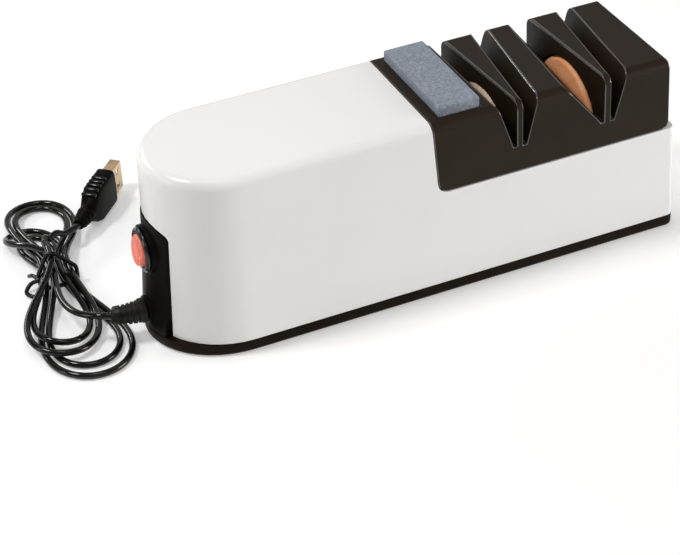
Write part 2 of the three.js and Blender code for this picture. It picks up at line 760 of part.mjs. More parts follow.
// Where the strand crosses the waist: side, place from the middle and layer
const crossings = [
  { side: -1, nest: 0, layer: 2 }, { side: 1, nest: 1, layer: 0 }, { side: -1, nest: 1, layer: 0 },
  { side: 1, nest: 0, layer: 0 }, { side: -1, nest: 0, layer: 1 }, { side: 1, nest: 0, layer: 1 },
  { side: -1, nest: 1, layer: 1 }, { side: 1, nest: 1, layer: 1 }, { side: -1, nest: 0, layer: 3 },
];

// Half-loops in order, far and near in turn: radius of the turn and reach from the waist as multiples of
// the strands' pitch, swing in degrees, and layer
const halfLoops = [
  { turnShare: 2.61, reachShare: 10.12, swing: 17.8, layer: 0 },
  { turnShare: 4.37, reachShare: 19.85, swing: -3.2, layer: 0 },
  { turnShare: 1.58, reachShare: 9.09, swing: 17.8, layer: 0 },
  { turnShare: 2.87, reachShare: 18.23, swing: -3.2, layer: 0 },
  { turnShare: 2.18, reachShare: 15.76, swing: -3.2, layer: 1 },
  { turnShare: 2.4, reachShare: 13.98, swing: 9.5, layer: 1 },
  { turnShare: 3.27, reachShare: 16.85, swing: -3.2, layer: 1 },
  { turnShare: 3.7, reachShare: 15.3, swing: 9.5, layer: 1 },
];

function layerHeight(layer) {
  return cordGround + layer * cordPitch;
}

// A place given along the waist's axes, lifted over the tie, as a point of the part
function hankPoint(across, along, height) {
  const lift = tieLift * (1 - THREE.MathUtils.smoothstep(Math.abs(along), waistStraight, tieLiftEnd));
  const x = waistX + along * Math.sin(waistAngle) + across * Math.cos(waistAngle);
  const y = waistY + along * Math.cos(waistAngle) - across * Math.sin(waistAngle);
  return new THREE.Vector3(x, y, height + lift);
}

function crossingPoint(crossing, along) {
  const across = crossing.side * (crossing.nest + 0.5) * cordPitch;
  return hankPoint(across, along, layerHeight(crossing.layer));
}

function halfLoopPoints(number) {
  const legSteps = 3;
  const turnSteps = 5;
  const climbShare = 0.35;
  const { turnShare, reachShare, swing, layer } = halfLoops[number];
  const radius = turnShare * cordPitch;
  const way = number % 2 === 0 ? 1 : -1;
  const centre = reachShare * cordPitch - radius;
  const fullSwing = THREE.MathUtils.degToRad(swing) * way;
  const place = (across, along, height, share) => {
    const angle = fullSwing * THREE.MathUtils.smoothstep(share, 0, 1);
    const [u, s] = [across, way * along];
    return hankPoint(
      u * Math.cos(angle) - s * Math.sin(angle), u * Math.sin(angle) + s * Math.cos(angle), height);
  };
  const leg = (crossing, share) => {
    const start = (crossing.nest + 0.5) * cordPitch;
    const out = start + (radius - start) * THREE.MathUtils.smoothstep(share, 0, sidewaysShare);
    const climb = THREE.MathUtils.smoothstep(share, 1 - sidewaysShare, 1 - sidewaysShare + climbShare);
    const height = THREE.MathUtils.lerp(layerHeight(crossing.layer), layerHeight(layer), climb);
    return place(crossing.side * out, waistStraight + (centre - waistStraight) * share, height, share);
  };
  const points = [];
  for (let step = 0; step <= legSteps; step += 1) points.push(leg(crossings[number], step / legSteps));
  const side = crossings[number].side;
  for (let step = 1; step < turnSteps; step += 1) {
    const angle = (step / turnSteps) * Math.PI;
    const across = side * radius * Math.cos(angle);
    points.push(place(across, centre + radius * Math.sin(angle), layerHeight(layer), 1));
  }
  for (let step = legSteps; step >= 0; step -= 1) points.push(leg(crossings[number + 1], step / legSteps));
  return points;
}

function hankPoints() {
  const points = [crossingPoint(crossings[0], -waistFace)];
  for (let number = 0; number < halfLoops.length; number += 1) points.push(...halfLoopPoints(number));
  points.push(crossingPoint(crossings[halfLoops.length], waistFace));
  return points;
}

// Least distance between the surfaces of a cord's own stretches that aren't next to each other
function leastGap(points) {
  const fine = [];
  for (let i = 0; i + 1 < points.length; i += 1) {
    const [point, next] = [points[i], points[i + 1]];
    const steps = Math.ceil(point.distanceTo(next) / (cordRadius / 2));
    for (let step = 0; step < steps; step += 1) fine.push(point.clone().lerp(next, step / steps));
  }
  const away = 4 * Math.ceil(2 * cordPitch / cordRadius);
  let least = Infinity;
  for (let i = 0; i < fine.length; i += 1) {
    for (let j = i + away; j < fine.length; j += 1) least = Math.min(least, fine[i].distanceTo(fine[j]));
  }
  return least - 2 * cordRadius;
}

function routeLength(points) {
  return points.slice(1).reduce((sum, point, i) => sum + point.distanceTo(points[i]), 0);
}

// Free stretch of cord along points, with straight ends
function cordStretch(points) {
  const curve = new THREE.CatmullRomCurve3(points, false, 'centripetal');
  const section = new THREE.Shape();
  const sides = 8;
  for (let k = 0; k < sides; k += 1) {
    const angle = (k / sides) * 2 * Math.PI;
    const [x, y] = [cordRadius * Math.cos(angle), cordRadius * Math.sin(angle)];
    if (k === 0) section.moveTo(x, y);
    else section.lineTo(x, y);
  }
  section.closePath();
  const steps = Math.ceil(curve.getLength() / (5 * cordRadius));
  return new THREE.ExtrudeGeometry(section, { steps, extrudePath: curve, bevelEnabled: false });
}

function along(point, direction, distance) {
  return point.clone().addScaledVector(direction, distance);
}

const waistDirection = new THREE.Vector3(Math.sin(waistAngle), Math.cos(waistAngle), 0);
const leadMiddle = [[-22.5, 7.25, 11.4], [-27.2, 16.25, 10.4], [-27.4, 26.75, 9.6]];
const tailMiddle = [[-21.2, 64.25, 12.6], [-16.6, 66.75, 11.4]];

function leadRoute() {
  const direction = reliefPoint(reliefLength).sub(reliefPoint(reliefLength - cordRadius)).normalize();
  const start = along(reliefPoint(reliefLength), direction, fit);
  const end = crossingPoint(crossings[0], -waistFace - fit);
  return [
    start, along(start, direction, 2 * cordRadius),
    ...leadMiddle.map((point) => new THREE.Vector3(...point)),
    along(end, waistDirection, -2 * cordRadius), end,
  ];
}

function tailRoute() {
  const start = crossingPoint(crossings[halfLoops.length], waistFace + fit);
  const end = plugPoint(-fit);
  return [
    start, along(start, waistDirection, 2 * cordRadius),
    ...tailMiddle.map((point) => new THREE.Vector3(...point)),
    plugPoint(-fit - 2 * cordRadius), end,
  ];
}

// Tie: a ring drawn tight round the strands at the waist, and two loose ends on its left. Corners are
// places and layers of the outer strands; ends are given across, along and up in multiples of the pitch.
const tieRadius = 0.65;
const tieRoom = 0.35;
const tiePlace = -4;
const tieCorners = [[-1.5, 0], [1.5, 0], [1.5, 1], [-0.5, 3], [-1.5, 1]];
const tieHookShares = [[-3.3, -0.9, 0.9], [-3.95, -1.7, 0.4], [-3.2, -2.6, 0.3], [-2.5, -1.9, 0.4]];
const tieTailShares = [[-2.75, 0.1, 1.3], [-3.1, 0.95, 0.8]];

function tieRingPoints() {
  const bendSteps = 3;
  const reach = cordRadius + tieRoom + tieRadius;
  const corners = tieCorners.map(([nest, layer]) => new THREE.Vector2(nest * cordPitch, layerHeight(layer)));
  const points = [];
  corners.forEach((corner, number) => {
    const before = corners[(number + corners.length - 1) % corners.length];
    const after = corners[(number + 1) % corners.length];
    const start = corner.clone().sub(before).angle() - Math.PI / 2;
    const turn = (after.clone().sub(corner).angle() - Math.PI / 2 - start + 2 * Math.PI) % (2 * Math.PI);
    for (let step = 0; step <= bendSteps; step += 1) {
      const angle = start + (turn * step) / bendSteps;
      points.push(new THREE.Vector2(reach * Math.cos(angle), reach * Math.sin(angle)).add(corner));
    }
  });
  const middle = points[0].clone().lerp(points[points.length - 1], 1 / 2);
  return [middle, ...points, middle];
}

function makeCordTie() {
  const endSteps = 7;
  const slant = 3 * tieRadius;
  const path = tieRingPoints();
  const ring = path.map((point, number) => {
    const share = number / (path.length - 1);
    return hankPoint(point.x, tiePlace + slant * (share - 1 / 2), point.y);
  });
  const knot = hankPoint(path[0].x, tiePlace, path[0].y);
  const ends = [tieHookShares, tieTailShares].map((shares) => {
    const places = shares.map(([across, alongWaist, height]) => (
      hankPoint(across * cordPitch, alongWaist * cordPitch, height * cordPitch - tieLift)));
    const curve = new THREE.CatmullRomCurve3([knot, ...places], false, 'centripetal');
    return tube(curve.getPoints(endSteps), tieRadius, 6);
  });
  const ball = new THREE.SphereGeometry(2 * tieRadius, 8, 6).translate(knot.x, knot.y, knot.z);
  return join(tube(ring, tieRadius, 6), ball, ...ends);
}

// Plug: stands on its narrow edge, pointing away from the neck
const plugJointX = 0.7;
const plugJointY = 77.15;
const plugAngle = THREE.MathUtils.degToRad(48.5);
const plugNeckLength = 9.3;
const plugBodyLength = 20.4;
const plugThickness = 8;
const plugHeight = 15.4;
const plugNeckRadius = 2.2;
const plugRootRadius = 3.5;
const plugGround = 0.1;
const shellHeight = 12;
const shellThickness = 4.5;
const shellWall = 0.5;
const shellOut = 9.5;
const shellIn = 4.5;

function plugPoint(distance) {
  const reach = distance - plugNeckLength;
  return new THREE.Vector3(
    plugJointX + reach * Math.cos(plugAngle), plugJointY + reach * Math.sin(plugAngle),
    plugGround + plugHeight / 2);
}

function placePlug(geometry) {
  const foot = plugPoint(0);
  return geometry.rotateZ(plugAngle).translate(foot.x, foot.y, foot.z);
}

// Ring across the plug: a rounded oblong of a given half height and half thickness
function plugRing(x, halfHeight, halfThickness, squareShare) {
  const sides = 20;
  const points = [];
  for (let k = 0; k < sides; k += 1) {
    const angle = (k / sides) * 2 * Math.PI;
    const [c, s] = [Math.cos(angle), Math.sin(angle)];
    const y = halfThickness * Math.sign(c) * Math.abs(c) ** squareShare;
    const z = halfHeight * Math.sign(s) * Math.abs(s) ** squareShare;
    points.push(new THREE.Vector3(x, y, z));
  }
  return points;
}

function makePlugGrip() {
  const roundShare = 1;
  const softShare = 0.5;
  const boxShare = 0.34;
  const crownShare = 0.86;
  const cheekShare = 0.95;
  const shoulder = 6.5;
  const neckRingCount = 3;
  const ringRise = 0.5;
  const end = plugNeckLength + plugBodyLength;
  const rings = [plugRing(0, plugNeckRadius, plugNeckRadius, roundShare)];
  const pitch = plugNeckLength / (neckRingCount + 1);
  for (let ring = 1; ring <= neckRingCount; ring += 1) {
    const radius = plugNeckRadius + ((plugRootRadius - plugNeckRadius) * ring) / (neckRingCount + 1);
    const x = ring * pitch;
    rings.push(plugRing(x - pitch / 4, radius, radius, roundShare));
    rings.push(plugRing(x, radius + ringRise, radius + ringRise, roundShare));
    rings.push(plugRing(x + pitch / 4, radius + ringRise, radius + ringRise, roundShare));
    rings.push(plugRing(x + pitch / 2, radius, radius, roundShare));
  }
  const [halfHeight, halfThickness] = [plugHeight / 2, plugThickness / 2];
  rings.push(plugRing(plugNeckLength + ringRise, plugRootRadius, plugRootRadius, roundShare));
  rings.push(plugRing(
    plugNeckLength + shoulder / 2, halfHeight * crownShare, halfThickness * cheekShare, softShare));
  rings.push(plugRing(plugNeckLength + shoulder, halfHeight, halfThickness, boxShare));
  rings.push(plugRing(end - ringRise, halfHeight, halfThickness, boxShare));
  rings.push(plugRing(end, halfHeight - ringRise, halfThickness - ringRise, boxShare));
  const [socketHalf, socketTop] = [shellThickness / 2 + fit, shellHeight / 2 + fit];
  const socket = block(end - shellIn - fit, end + overrun, -socketHalf, socketHalf, -socketTop, socketTop);
  return placePlug(cut(loft(rings), socket, ...gripGrooves(end, halfHeight, halfThickness)));
}

// Shallow grooves across the narrow edges
function gripGrooves(end, halfHeight, halfThickness) {
  const grooveCount = 4;
  const depth = 0.6;
  const width = 1.2;
  const pitch = 2.6;
  const first = end - 2 * halfHeight - pitch / 2;
  const reach = halfThickness + overrun;
  const grooves = [];
  for (let number = 0; number < grooveCount; number += 1) {
    const x = first + number * pitch;
    grooves.push(block(x, x + width, -reach, reach, halfHeight - depth, halfHeight + overrun));
    grooves.push(block(x, x + width, -reach, reach, -halfHeight - overrun, depth - halfHeight));
  }
  return grooves;
}

function makePlugShell() {
  const start = plugNeckLength + plugBodyLength - shellIn;
  const end = plugNeckLength + plugBodyLength + shellOut;
  const holeHeight = 2.4;
  const holeLength = 2.6;
  const holePlace = 3.1;
  const holeInset = 5.6;
  const [halfHeight, halfThickness] = [shellHeight / 2, shellThickness / 2];
  const outer = block(start, end, -halfThickness, halfThickness, -halfHeight, halfHeight);
  const inner = block(start + shellWall, end + overrun, shellWall - halfThickness, halfThickness - shellWall,
    shellWall - halfHeight, halfHeight - shellWall);
  const holes = [-1, 1].map((side) => block(
    end - holeInset, end - holeInset + holeLength, -halfThickness - overrun, halfThickness + overrun,
    side * holePlace - holeHeight / 2, side * holePlace + holeHeight / 2));
  return placePlug(cut(outer, inner, ...holes));
}

function makePlugTongue() {
  const tongueThickness = 1.8;
  const setBack = 1;
  const start = plugNeckLength + plugBodyLength - shellIn + shellWall + fit;
  const end = plugNeckLength + plugBodyLength + shellOut - setBack;
  const half = shellHeight / 2 - shellWall - fit;
  const top = shellThickness / 2 - shellWall - fit;
  return placePlug(block(start, end, top - tongueThickness, top, -half, half));
}

// Drive: motor, coupling, shaft, nut and bushes on one axis
const motorStart = insertTopStart * motorStartShare;
const motorLength = insertTopStart * motorLengthShare;
const motorEnd = motorStart + motorLength + 2 * overrun;
const capLength = 6;
const bearingBossRadius = 4;
const bearingBossLength = 2.4;
const couplingRadius = 5;
const couplingStart = insertTopStart * couplingStartShare;
const couplingLength = insertTopStart * couplingLengthShare;
const meetOffset = 1;
const shaftMeet = couplingStart + couplingLength / 2 + meetOffset;
const shaftShoulder = { radius: 4.1, length: 3.4 };
const threadRadius = 2;
const nutLength = 3.4;
const nutRadius = 4.04;
const bushRadius = 6;
const bushLength = 6;
const postThickness = 5;
const leftPostInset = 9.2;
const rightPostInset = 8.7;
const leftPost = insertTopStart + leftPostInset;
const rightPost = insertEnd - rightPostInset;
const sleeveRadius = 4.1;
const fineHubLeft = fineCentre - fineWheel.hubHalf;
const fineHubRight = fineCentre + fineWheel.hubHalf;
const coarseHubLeft = coarseCentre - coarseWheel.hubHalf;
const coarseHubRight = coarseCentre + coarseWheel.hubHalf;
const shaftStub = 0.75;
const shaftEnd = rightPost + postThickness + shaftStub;

function makeMotorCan() {
  const edge = 0.8;
  const start = motorStart + capLength + fit;
  const bore = motorShaftRadius + fit;
  const boreDepth = 9;
  const profile = [
    [0, start], [motorRadius, start], [motorRadius, motorEnd - edge], [motorRadius - edge, motorEnd],
    [bearingBossRadius, motorEnd], [bearingBossRadius, motorEnd + bearingBossLength],
    [bore, motorEnd + bearingBossLength], [bore, motorEnd - boreDepth], [0, motorEnd - boreDepth],
  ];
  const can = turnedAlongX(profile, 28).translate(0, 0, axisHeight);
  const flatDepth = 1.6;
  const [near, far] = [motorRadius - flatDepth, motorRadius + overrun];
  const flats = [[-far, -near], [near, far]].map(([y0, y1]) => block(
    start - overrun, motorEnd - 2 * edge, y0, y1, axisHeight - motorRadius, axisHeight + motorRadius));
  return cut(can, ...flats);
}

function makeMotorEndCap() {
  const rim = 1.5;
  const tabHalf = 1.5;
  const tabThickness = 0.7;
  const tabLength = 4;
  const tabPlace = 7.5;
  const profile = [
    [0, motorStart], [bearingBossRadius, motorStart], [bearingBossRadius, motorStart + rim],
    [motorRadius - 2 * rim, motorStart + rim], [motorRadius - rim, motorStart + 2 * rim],
    [motorRadius - rim, motorStart + capLength], [0, motorStart + capLength],
  ];
  const cap = turnedAlongX(profile, 24).translate(0, 0, axisHeight);
  const tabs = [-1, 1].map((side) => block(
    motorStart + rim - tabLength, motorStart + 2 * rim, side * tabPlace - tabHalf, side * tabPlace + tabHalf,
    axisHeight - tabThickness / 2, axisHeight + tabThickness / 2));
  return join(cap, ...tabs);
}

function makeMotorShaft() {
  const start = motorEnd - capLength;
  return rodAlongX(motorShaftRadius, start, shaftMeet - fit, 0, axisHeight, 20);
}

function makeShaftCoupling() {
  const edge = 0.6;
  const end = couplingStart + couplingLength;
  const small = motorShaftRadius + fit;
  const large = shaftRadius + fit;
  const profile = [
    [small, couplingStart], [couplingRadius - edge, couplingStart], [couplingRadius, couplingStart + edge],
    [couplingRadius, end - edge], [couplingRadius - edge, end], [large, end], [large, shaftMeet],
    [small, shaftMeet], [small, couplingStart],
  ];
  const sleeve = turnedAlongX(profile, 20).translate(0, 0, axisHeight);
  const setScrew = 1.2;
  const screws = [couplingStart + couplingLength / 4, end - couplingLength / 4].map((x) => (
    rodAlongZ(setScrew, axisHeight, axisHeight + couplingRadius + overrun, x, 0, 8)));
  return cut(sleeve, ...screws);
}

function makeWheelShaft() {
  const shoulderEnd = fineHubLeft - fit;
  const threadStart = coarseHubRight - 2 * fit;
  const chamfer = 0.4;
  const shoulderStart = shoulderEnd - shaftShoulder.length;
  const profile = [
    [0, shaftMeet + fit], [shaftRadius - chamfer, shaftMeet + fit], [shaftRadius, shaftMeet + fit + chamfer],
    [shaftRadius, shoulderStart], [shaftShoulder.radius, shoulderStart],
    [shaftShoulder.radius, shoulderEnd], [shaftRadius, shoulderEnd], [shaftRadius, threadStart],
    [threadRadius, threadStart], [threadRadius, shaftEnd - chamfer], [threadRadius - chamfer, shaftEnd],
    [0, shaftEnd],
  ];
  return turnedAlongX(profile, 20).translate(0, 0, axisHeight);
}

function makeWheelSpacer() {
  const [start, end] = [fineHubRight + fit, coarseHubLeft - fit];
  const bore = shaftRadius + fit;
  const profile = [[bore, start], [sleeveRadius, start], [sleeveRadius, end], [bore, end], [bore, start]];
  return turnedAlongX(profile, 20).translate(0, 0, axisHeight);
}

function makeShaftNut() {
  const start = coarseHubRight + fit;
  const bore = threadRadius + fit;
  const end = start + nutLength;
  const profile = [[bore, start], [nutRadius, start], [nutRadius, end], [bore, end], [bore, start]];
  return turnedAlongX(profile, 6).translate(0, 0, axisHeight);
}

function makeBearing(postStart, boreRadius) {
  const edge = 0.4;
  const start = postStart + (postThickness - bushLength) / 2;
  const end = start + bushLength;
  const bore = boreRadius + fit;
  const profile = [
    [bore, start], [bushRadius - edge, start], [bushRadius, start + edge], [bushRadius, end - edge],
    [bushRadius - edge, end], [bore, end], [bore, start],
  ];
  return turnedAlongX(profile, 24).translate(0, 0, axisHeight);
}

function makeBearingPost(start) {
  const footHalf = 13;
  const headHalf = 9.5;
  const bottom = floorTop + fit;
  const webDepth = 1.2;
  const shape = new THREE.Shape();
  shape.moveTo(-footHalf, bottom);
  shape.lineTo(footHalf, bottom);
  shape.lineTo(headHalf, axisHeight);
  shape.absarc(0, axisHeight, headHalf, 0, Math.PI, false);
  shape.closePath();
  const end = start + postThickness;
  const hole = rodAlongX(bushRadius + fit, start - overrun, end + overrun, 0, axisHeight, 24);
  const panelTop = axisHeight - headHalf - overrun;
  const panels = [[start - overrun, start + webDepth], [end - webDepth, end + overrun]].map(([x0, x1]) => (
    block(x0, x1, overrun - headHalf, headHalf - overrun, bottom + 2 * overrun, panelTop)));
  return cut(prismAlongX(shape, start, end, 8), hole, ...panels);
}

function makeMotorCradle() {
  const footHalf = 14;
  const armHalf = 17.4;
  const armTop = axisHeight - overrun * 2;
  const bottom = floorTop + fit;
  const plate = 3;
  const ribThickness = 4;
  const [start, end] = [motorStart + capLength * 2, motorEnd - overrun];
  const shape = new THREE.Shape();
  shape.moveTo(-footHalf, bottom);
  shape.lineTo(footHalf, bottom);
  shape.lineTo(armHalf, armTop);
  shape.lineTo(-armHalf, armTop);
  shape.closePath();
  const reach = armHalf + overrun;
  const window = block(
    start + ribThickness, end - ribThickness, -reach, reach, bottom + plate, armTop + overrun);
  const seat = rodAlongX(motorRadius + fit, start - overrun, end + overrun, 0, axisHeight, 28);
  return cut(prismAlongX(shape, start, end), window, seat);
}

function makeCircuitBoard() {
  const bottom = floorTop + standoffHeight + fit;
  const top = bottom + boardThickness;
  const end = boardStart + boardLength;
  const margin = 1.5;
  const chipHalf = 3;
  const chipHeight = 1.4;
  const canRadius = 3.2;
  const canHeight = 9;
  const socketDepth = 5;
  const socketHeight = 4.2;
  const board = block(boardStart, end, -boardHalf, boardHalf, bottom, top);
  const chipX = boardStart + boardLength / 2;
  const chip = block(
    chipX - chipHalf, chipX + chipHalf, -2 * chipHalf, -margin, top - margin, top + chipHeight);
  const can = rodAlongZ(canRadius, top - margin / 2, top + canHeight, chipX, boardHalf / 2, 12);
  const socketEnd = end - margin;
  const socket = block(
    socketEnd - socketDepth, socketEnd, -chipHalf, chipHalf, top - margin / 2, top + socketHeight);
  return join(board, chip, can, socket);
}

// The whole part
const part = new THREE.Group();
const pieces = new THREE.Group();
part.add(pieces);

function add(name, geometry, material) {
  const mesh = new THREE.Mesh(geometry, material);
  mesh.name = name;
  pieces.add(mesh);
  return mesh;
}

add('housing', makeHousing(), materials.whiteShell);
add('base_plate', makeBasePlate(), materials.blackPlastic);
add('slot_insert', makeSlotInsert(), materials.guidePlastic);
add('whetstone', makeWhetstone(), materials.stone);
add('end_panel', makeEndPanel(), materials.blackPlastic);
add('switch_bezel', makeSwitchBody(), materials.blackPlastic);
const rocker = add('switch_rocker', makeRocker(), materials.redPlastic);
rocker.position.set(pivotX, 0, switchHeight);
rocker.rotation.y = rockerTilt;
add('strain_relief', makeStrainRelief(), materials.cordRubber);
add('fine_wheel', makeWheel(fineCentre, fineWheel), materials.ivoryAbrasive);
add('coarse_wheel', makeWheel(coarseCentre, coarseWheel), materials.orangeAbrasive);
add('motor_can', makeMotorCan(), materials.steel);
add('motor_end_cap', makeMotorEndCap(), materials.framePlastic);
add('motor_shaft', makeMotorShaft(), materials.steel);
add('motor_cradle', makeMotorCradle(), materials.framePlastic);
add('shaft_coupling', makeShaftCoupling(), materials.bronze);
add('wheel_shaft', makeWheelShaft(), materials.steel);
add('wheel_spacer', makeWheelSpacer(), materials.framePlastic);
add('shaft_nut', makeShaftNut(), materials.steel);
add('bearing_left', makeBearing(leftPost, shaftRadius), materials.bronze);
add('bearing_right', makeBearing(rightPost, threadRadius), materials.bronze);
add('bearing_post_left', makeBearingPost(leftPost), materials.framePlastic);
add('bearing_post_right', makeBearingPost(rightPost), materials.framePlastic);
add('circuit_board', makeCircuitBoard(), materials.board);
footSpots.forEach((spot, i) => add(`rubber_foot_${i + 1}`, makeFoot(spot), materials.footRubber));
bossSpots.forEach((spot, i) => add(`base_screw_${i + 1}`, makeBaseScrew(spot), materials.steel));

const hankRoute = hankPoints();
add('cord_lead', cordStretch(leadRoute()), materials.cordRubber);
add('cord_hank', tube(hankRoute, cordRadius, cordSides), materials.cordRubber);
add('cord_tail', cordStretch(tailRoute()), materials.cordRubber);
add('cord_tie', makeCordTie(), materials.cordRubber);
add('plug_grip', makePlugGrip(), materials.blackPlastic);
add('plug_shell', makePlugShell(), materials.platedShell);
add('plug_tongue', makePlugTongue(), materials.tongue);

const cordLength = routeLength(leadRoute()) + routeLength(hankRoute) + routeLength(tailRoute());
const bundleGap = leastGap(hankRoute);
console.log(`cord length ${cordLength.toFixed(0)} mm, least gap of the bundle ${bundleGap.toFixed(2)} mm`);

// The origin is under the middle of the body, rocker included and cord left out
rocker.updateMatrixWorld(true);
const low = Math.min(new THREE.Box3().setFromObject(rocker, true).min.x, -toeReach);
const high = bodyEnd(footDrop + bandHeight);
pieces.position.x = -(low + high) / 2;

export default part;
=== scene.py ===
import math

import bpy
from mathutils import Matrix, Vector, kdtree


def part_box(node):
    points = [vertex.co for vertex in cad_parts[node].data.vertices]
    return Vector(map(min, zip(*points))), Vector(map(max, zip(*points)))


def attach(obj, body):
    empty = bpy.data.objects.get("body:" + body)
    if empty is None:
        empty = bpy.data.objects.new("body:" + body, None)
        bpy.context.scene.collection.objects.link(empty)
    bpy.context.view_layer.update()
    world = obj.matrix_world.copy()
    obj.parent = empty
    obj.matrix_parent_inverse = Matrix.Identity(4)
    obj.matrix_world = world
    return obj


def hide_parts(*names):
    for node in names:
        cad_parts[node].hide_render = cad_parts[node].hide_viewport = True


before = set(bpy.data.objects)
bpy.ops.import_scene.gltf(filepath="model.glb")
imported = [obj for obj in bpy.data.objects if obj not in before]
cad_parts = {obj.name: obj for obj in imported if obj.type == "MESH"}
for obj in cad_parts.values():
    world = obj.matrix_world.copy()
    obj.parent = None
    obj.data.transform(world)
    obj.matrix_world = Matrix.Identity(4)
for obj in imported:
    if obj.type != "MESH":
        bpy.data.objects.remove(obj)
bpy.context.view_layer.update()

mm = 0.001
# body coordinates: x from the round tip, y from the middle, z from the table, all in millimetres
toeReach = 2.6  # how far the base stands out before the round tip
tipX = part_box("base_plate")[0].x + toeReach * mm


def at(x, y, z):
    return Vector((tipX + x * mm, y * mm, z * mm))


# camera
cameraSetup = {
    "target": (98.57, 56.57, -43.56),
    "azimuth": -22.219,
    "elevation": 35.526,
    "roll": -3.130,
    "distance": 894.0,
    "lens": 113.45,
    "sensor": 36.0,
    "clip": (0.05, 20),
}


def placeCamera(setup):
    azimuth, elevation, roll = (math.radians(setup[k]) for k in ("azimuth", "elevation", "roll"))
    back = Vector((
        math.sin(azimuth) * math.cos(elevation),
        -math.cos(azimuth) * math.cos(elevation),
        math.sin(elevation),
    ))
    right = Vector((math.cos(azimuth), math.sin(azimuth), 0))
    up = back.cross(right)
    rolledRight = right * math.cos(roll) + up * math.sin(roll)
    rolledUp = up * math.cos(roll) - right * math.sin(roll)
    data = bpy.data.cameras.new("camera")
    data.lens = setup["lens"]
    data.sensor_width = setup["sensor"]
    data.sensor_fit = "HORIZONTAL"
    data.clip_start, data.clip_end = setup["clip"]
    camera = bpy.data.objects.new("camera", data)
    bpy.context.scene.collection.objects.link(camera)
    turn = Matrix((rolledRight, rolledUp, back)).transposed().to_4x4()
    place = at(*setup["target"]) + back * setup["distance"] * mm
    camera.matrix_world = Matrix.Translation(place) @ turn
    bpy.context.scene.camera = camera


placeCamera(cameraSetup)
print("stage: camera")


# shader maths: a wire is a socket that can be added and multiplied
class Wire:
    def __init__(self, finish, socket):
        self.finish = finish
        self.socket = socket

    def maths(self, operation, first, second):
        return self.finish.node("ShaderNodeMath", {"operation": operation}, {0: first, 1: second})

    def __add__(self, other):
        return self.maths("ADD", self, other)

    def __mul__(self, other):
        return self.maths("MULTIPLY", self, other)


noiseSpan = (0.3, 0.7)  # most values of a noise lie in here
mixSockets = {"inputs": (0, 6, 7), "output": 2}  # factor and colours of a Mix node set to colour


class Finish:
    def __init__(self, name, **settings):
        self.material = bpy.data.materials.new(name)
        self.material.use_nodes = True
        self.tree = self.material.node_tree
        self.shader = self.tree.nodes["Principled BSDF"]
        for socket, value in settings.items():
            self.feed(socket.replace("_", " "), value)

    def node(self, kind, settings=None, inputs=None, output=0):
        made = self.tree.nodes.new(kind)
        for name, value in (settings or {}).items():
            if name == "stops":
                ramp = made.color_ramp.elements
                while len(ramp) < len(value):
                    ramp.new(0.5)
                for element, (place, colour) in zip(ramp, value):
                    element.position = place
                    element.color = (*colour, 1)
            else:
                setattr(made, name, value)
        for name, value in (inputs or {}).items():
            self.plug(made.inputs[name], value)
        return Wire(self, made.outputs[output])

    def plug(self, socket, value):
        if isinstance(value, Wire):
            self.tree.links.new(value.socket, socket)
        elif isinstance(value, tuple) and len(value) == 3 and socket.type == "RGBA":
            socket.default_value = (*value, 1)
        else:
            socket.default_value = value

    def feed(self, name, value):
        self.plug(self.shader.inputs[name], value)

    def place(self, stretch=(1, 1, 1)):
        coordinates = self.node("ShaderNodeTexCoord", output="Object")
        if stretch == (1, 1, 1):
            return coordinates
        return self.node("ShaderNodeMapping", None, {"Vector": coordinates, "Scale": stretch})

    def noise(self, size, detail=3, rough=0.55, stretch=(1, 1, 1)):
        # size is the size of a patch in millimetres
        return self.node("ShaderNodeTexNoise", None, {
            "Vector": self.place(stretch),
            "Scale": 1 / (size * mm),
            "Detail": detail,
            "Roughness": rough,
        })

    def grains(self, size):
        return self.node("ShaderNodeTexVoronoi", {"feature": "F1"}, {
            "Vector": self.place(),
            "Scale": 1 / (size * mm),
        })

    def blend(self, factor, first, second):
        made = self.tree.nodes.new("ShaderNodeMix")
        made.data_type = "RGBA"
        for number, value in zip(mixSockets["inputs"], (factor, first, second)):
            self.plug(made.inputs[number], value)
        return Wire(self, made.outputs[mixSockets["output"]])

    def ramp(self, value, *stops):
        return self.node("ShaderNodeValToRGB", {"stops": stops}, {"Fac": value})

    def band(self, value, low, high, fromValue=0.0, toValue=1.0):
        # value between low and high, spread over another range
        return self.node("ShaderNodeMapRange", None, {
            "Value": value, "From Min": low, "From Max": high, "To Min": fromValue, "To Max": toValue,
        })

    def mottle(self, noise, first, second):
        # a colour that wanders between two
        return self.blend(self.band(noise, *noiseSpan), first, second)

    def drift(self, noise, fromValue, toValue):
        # a number that wanders between two
        return self.band(noise, *noiseSpan, fromValue, toValue)

    def bump(self, height, strength, depth):
        made = self.node(
            "ShaderNodeBump", None, {"Height": height, "Strength": strength, "Distance": depth * mm})
        self.feed("Normal", made)


def glossShell(name="glossShell", pale=(0.885, 0.872, 0.862), deep=(0.86, 0.842, 0.83), rough=0.24):
    f = Finish(name, IOR=1.5)
    cloud = f.noise(size=60, detail=2)
    flow = f.noise(size=14, detail=2, rough=0.4, stretch=(0.35, 1, 1))
    f.feed("Base Color", f.mottle(cloud, deep, pale))
    f.feed("Roughness", f.drift(flow, rough - 0.02, rough + 0.03))
    f.bump(flow, strength=0.05, depth=0.06)
    return f.material


def satinBlack(name="satinBlack", colour=(0.0024, 0.0021, 0.0018), rough=0.36, ior=1.13):
    f = Finish(name, IOR=ior)
    grain = f.noise(size=0.5, detail=3)
    cloud = f.noise(size=18, detail=2)
    lighter = tuple(c * 1.7 for c in colour)
    f.feed("Base Color", f.mottle(cloud, colour, lighter))
    f.feed("Roughness", f.drift(cloud, rough - 0.04, rough + 0.06) + grain * 0.05)
    f.bump(grain, strength=0.12, depth=0.03)
    return f.material


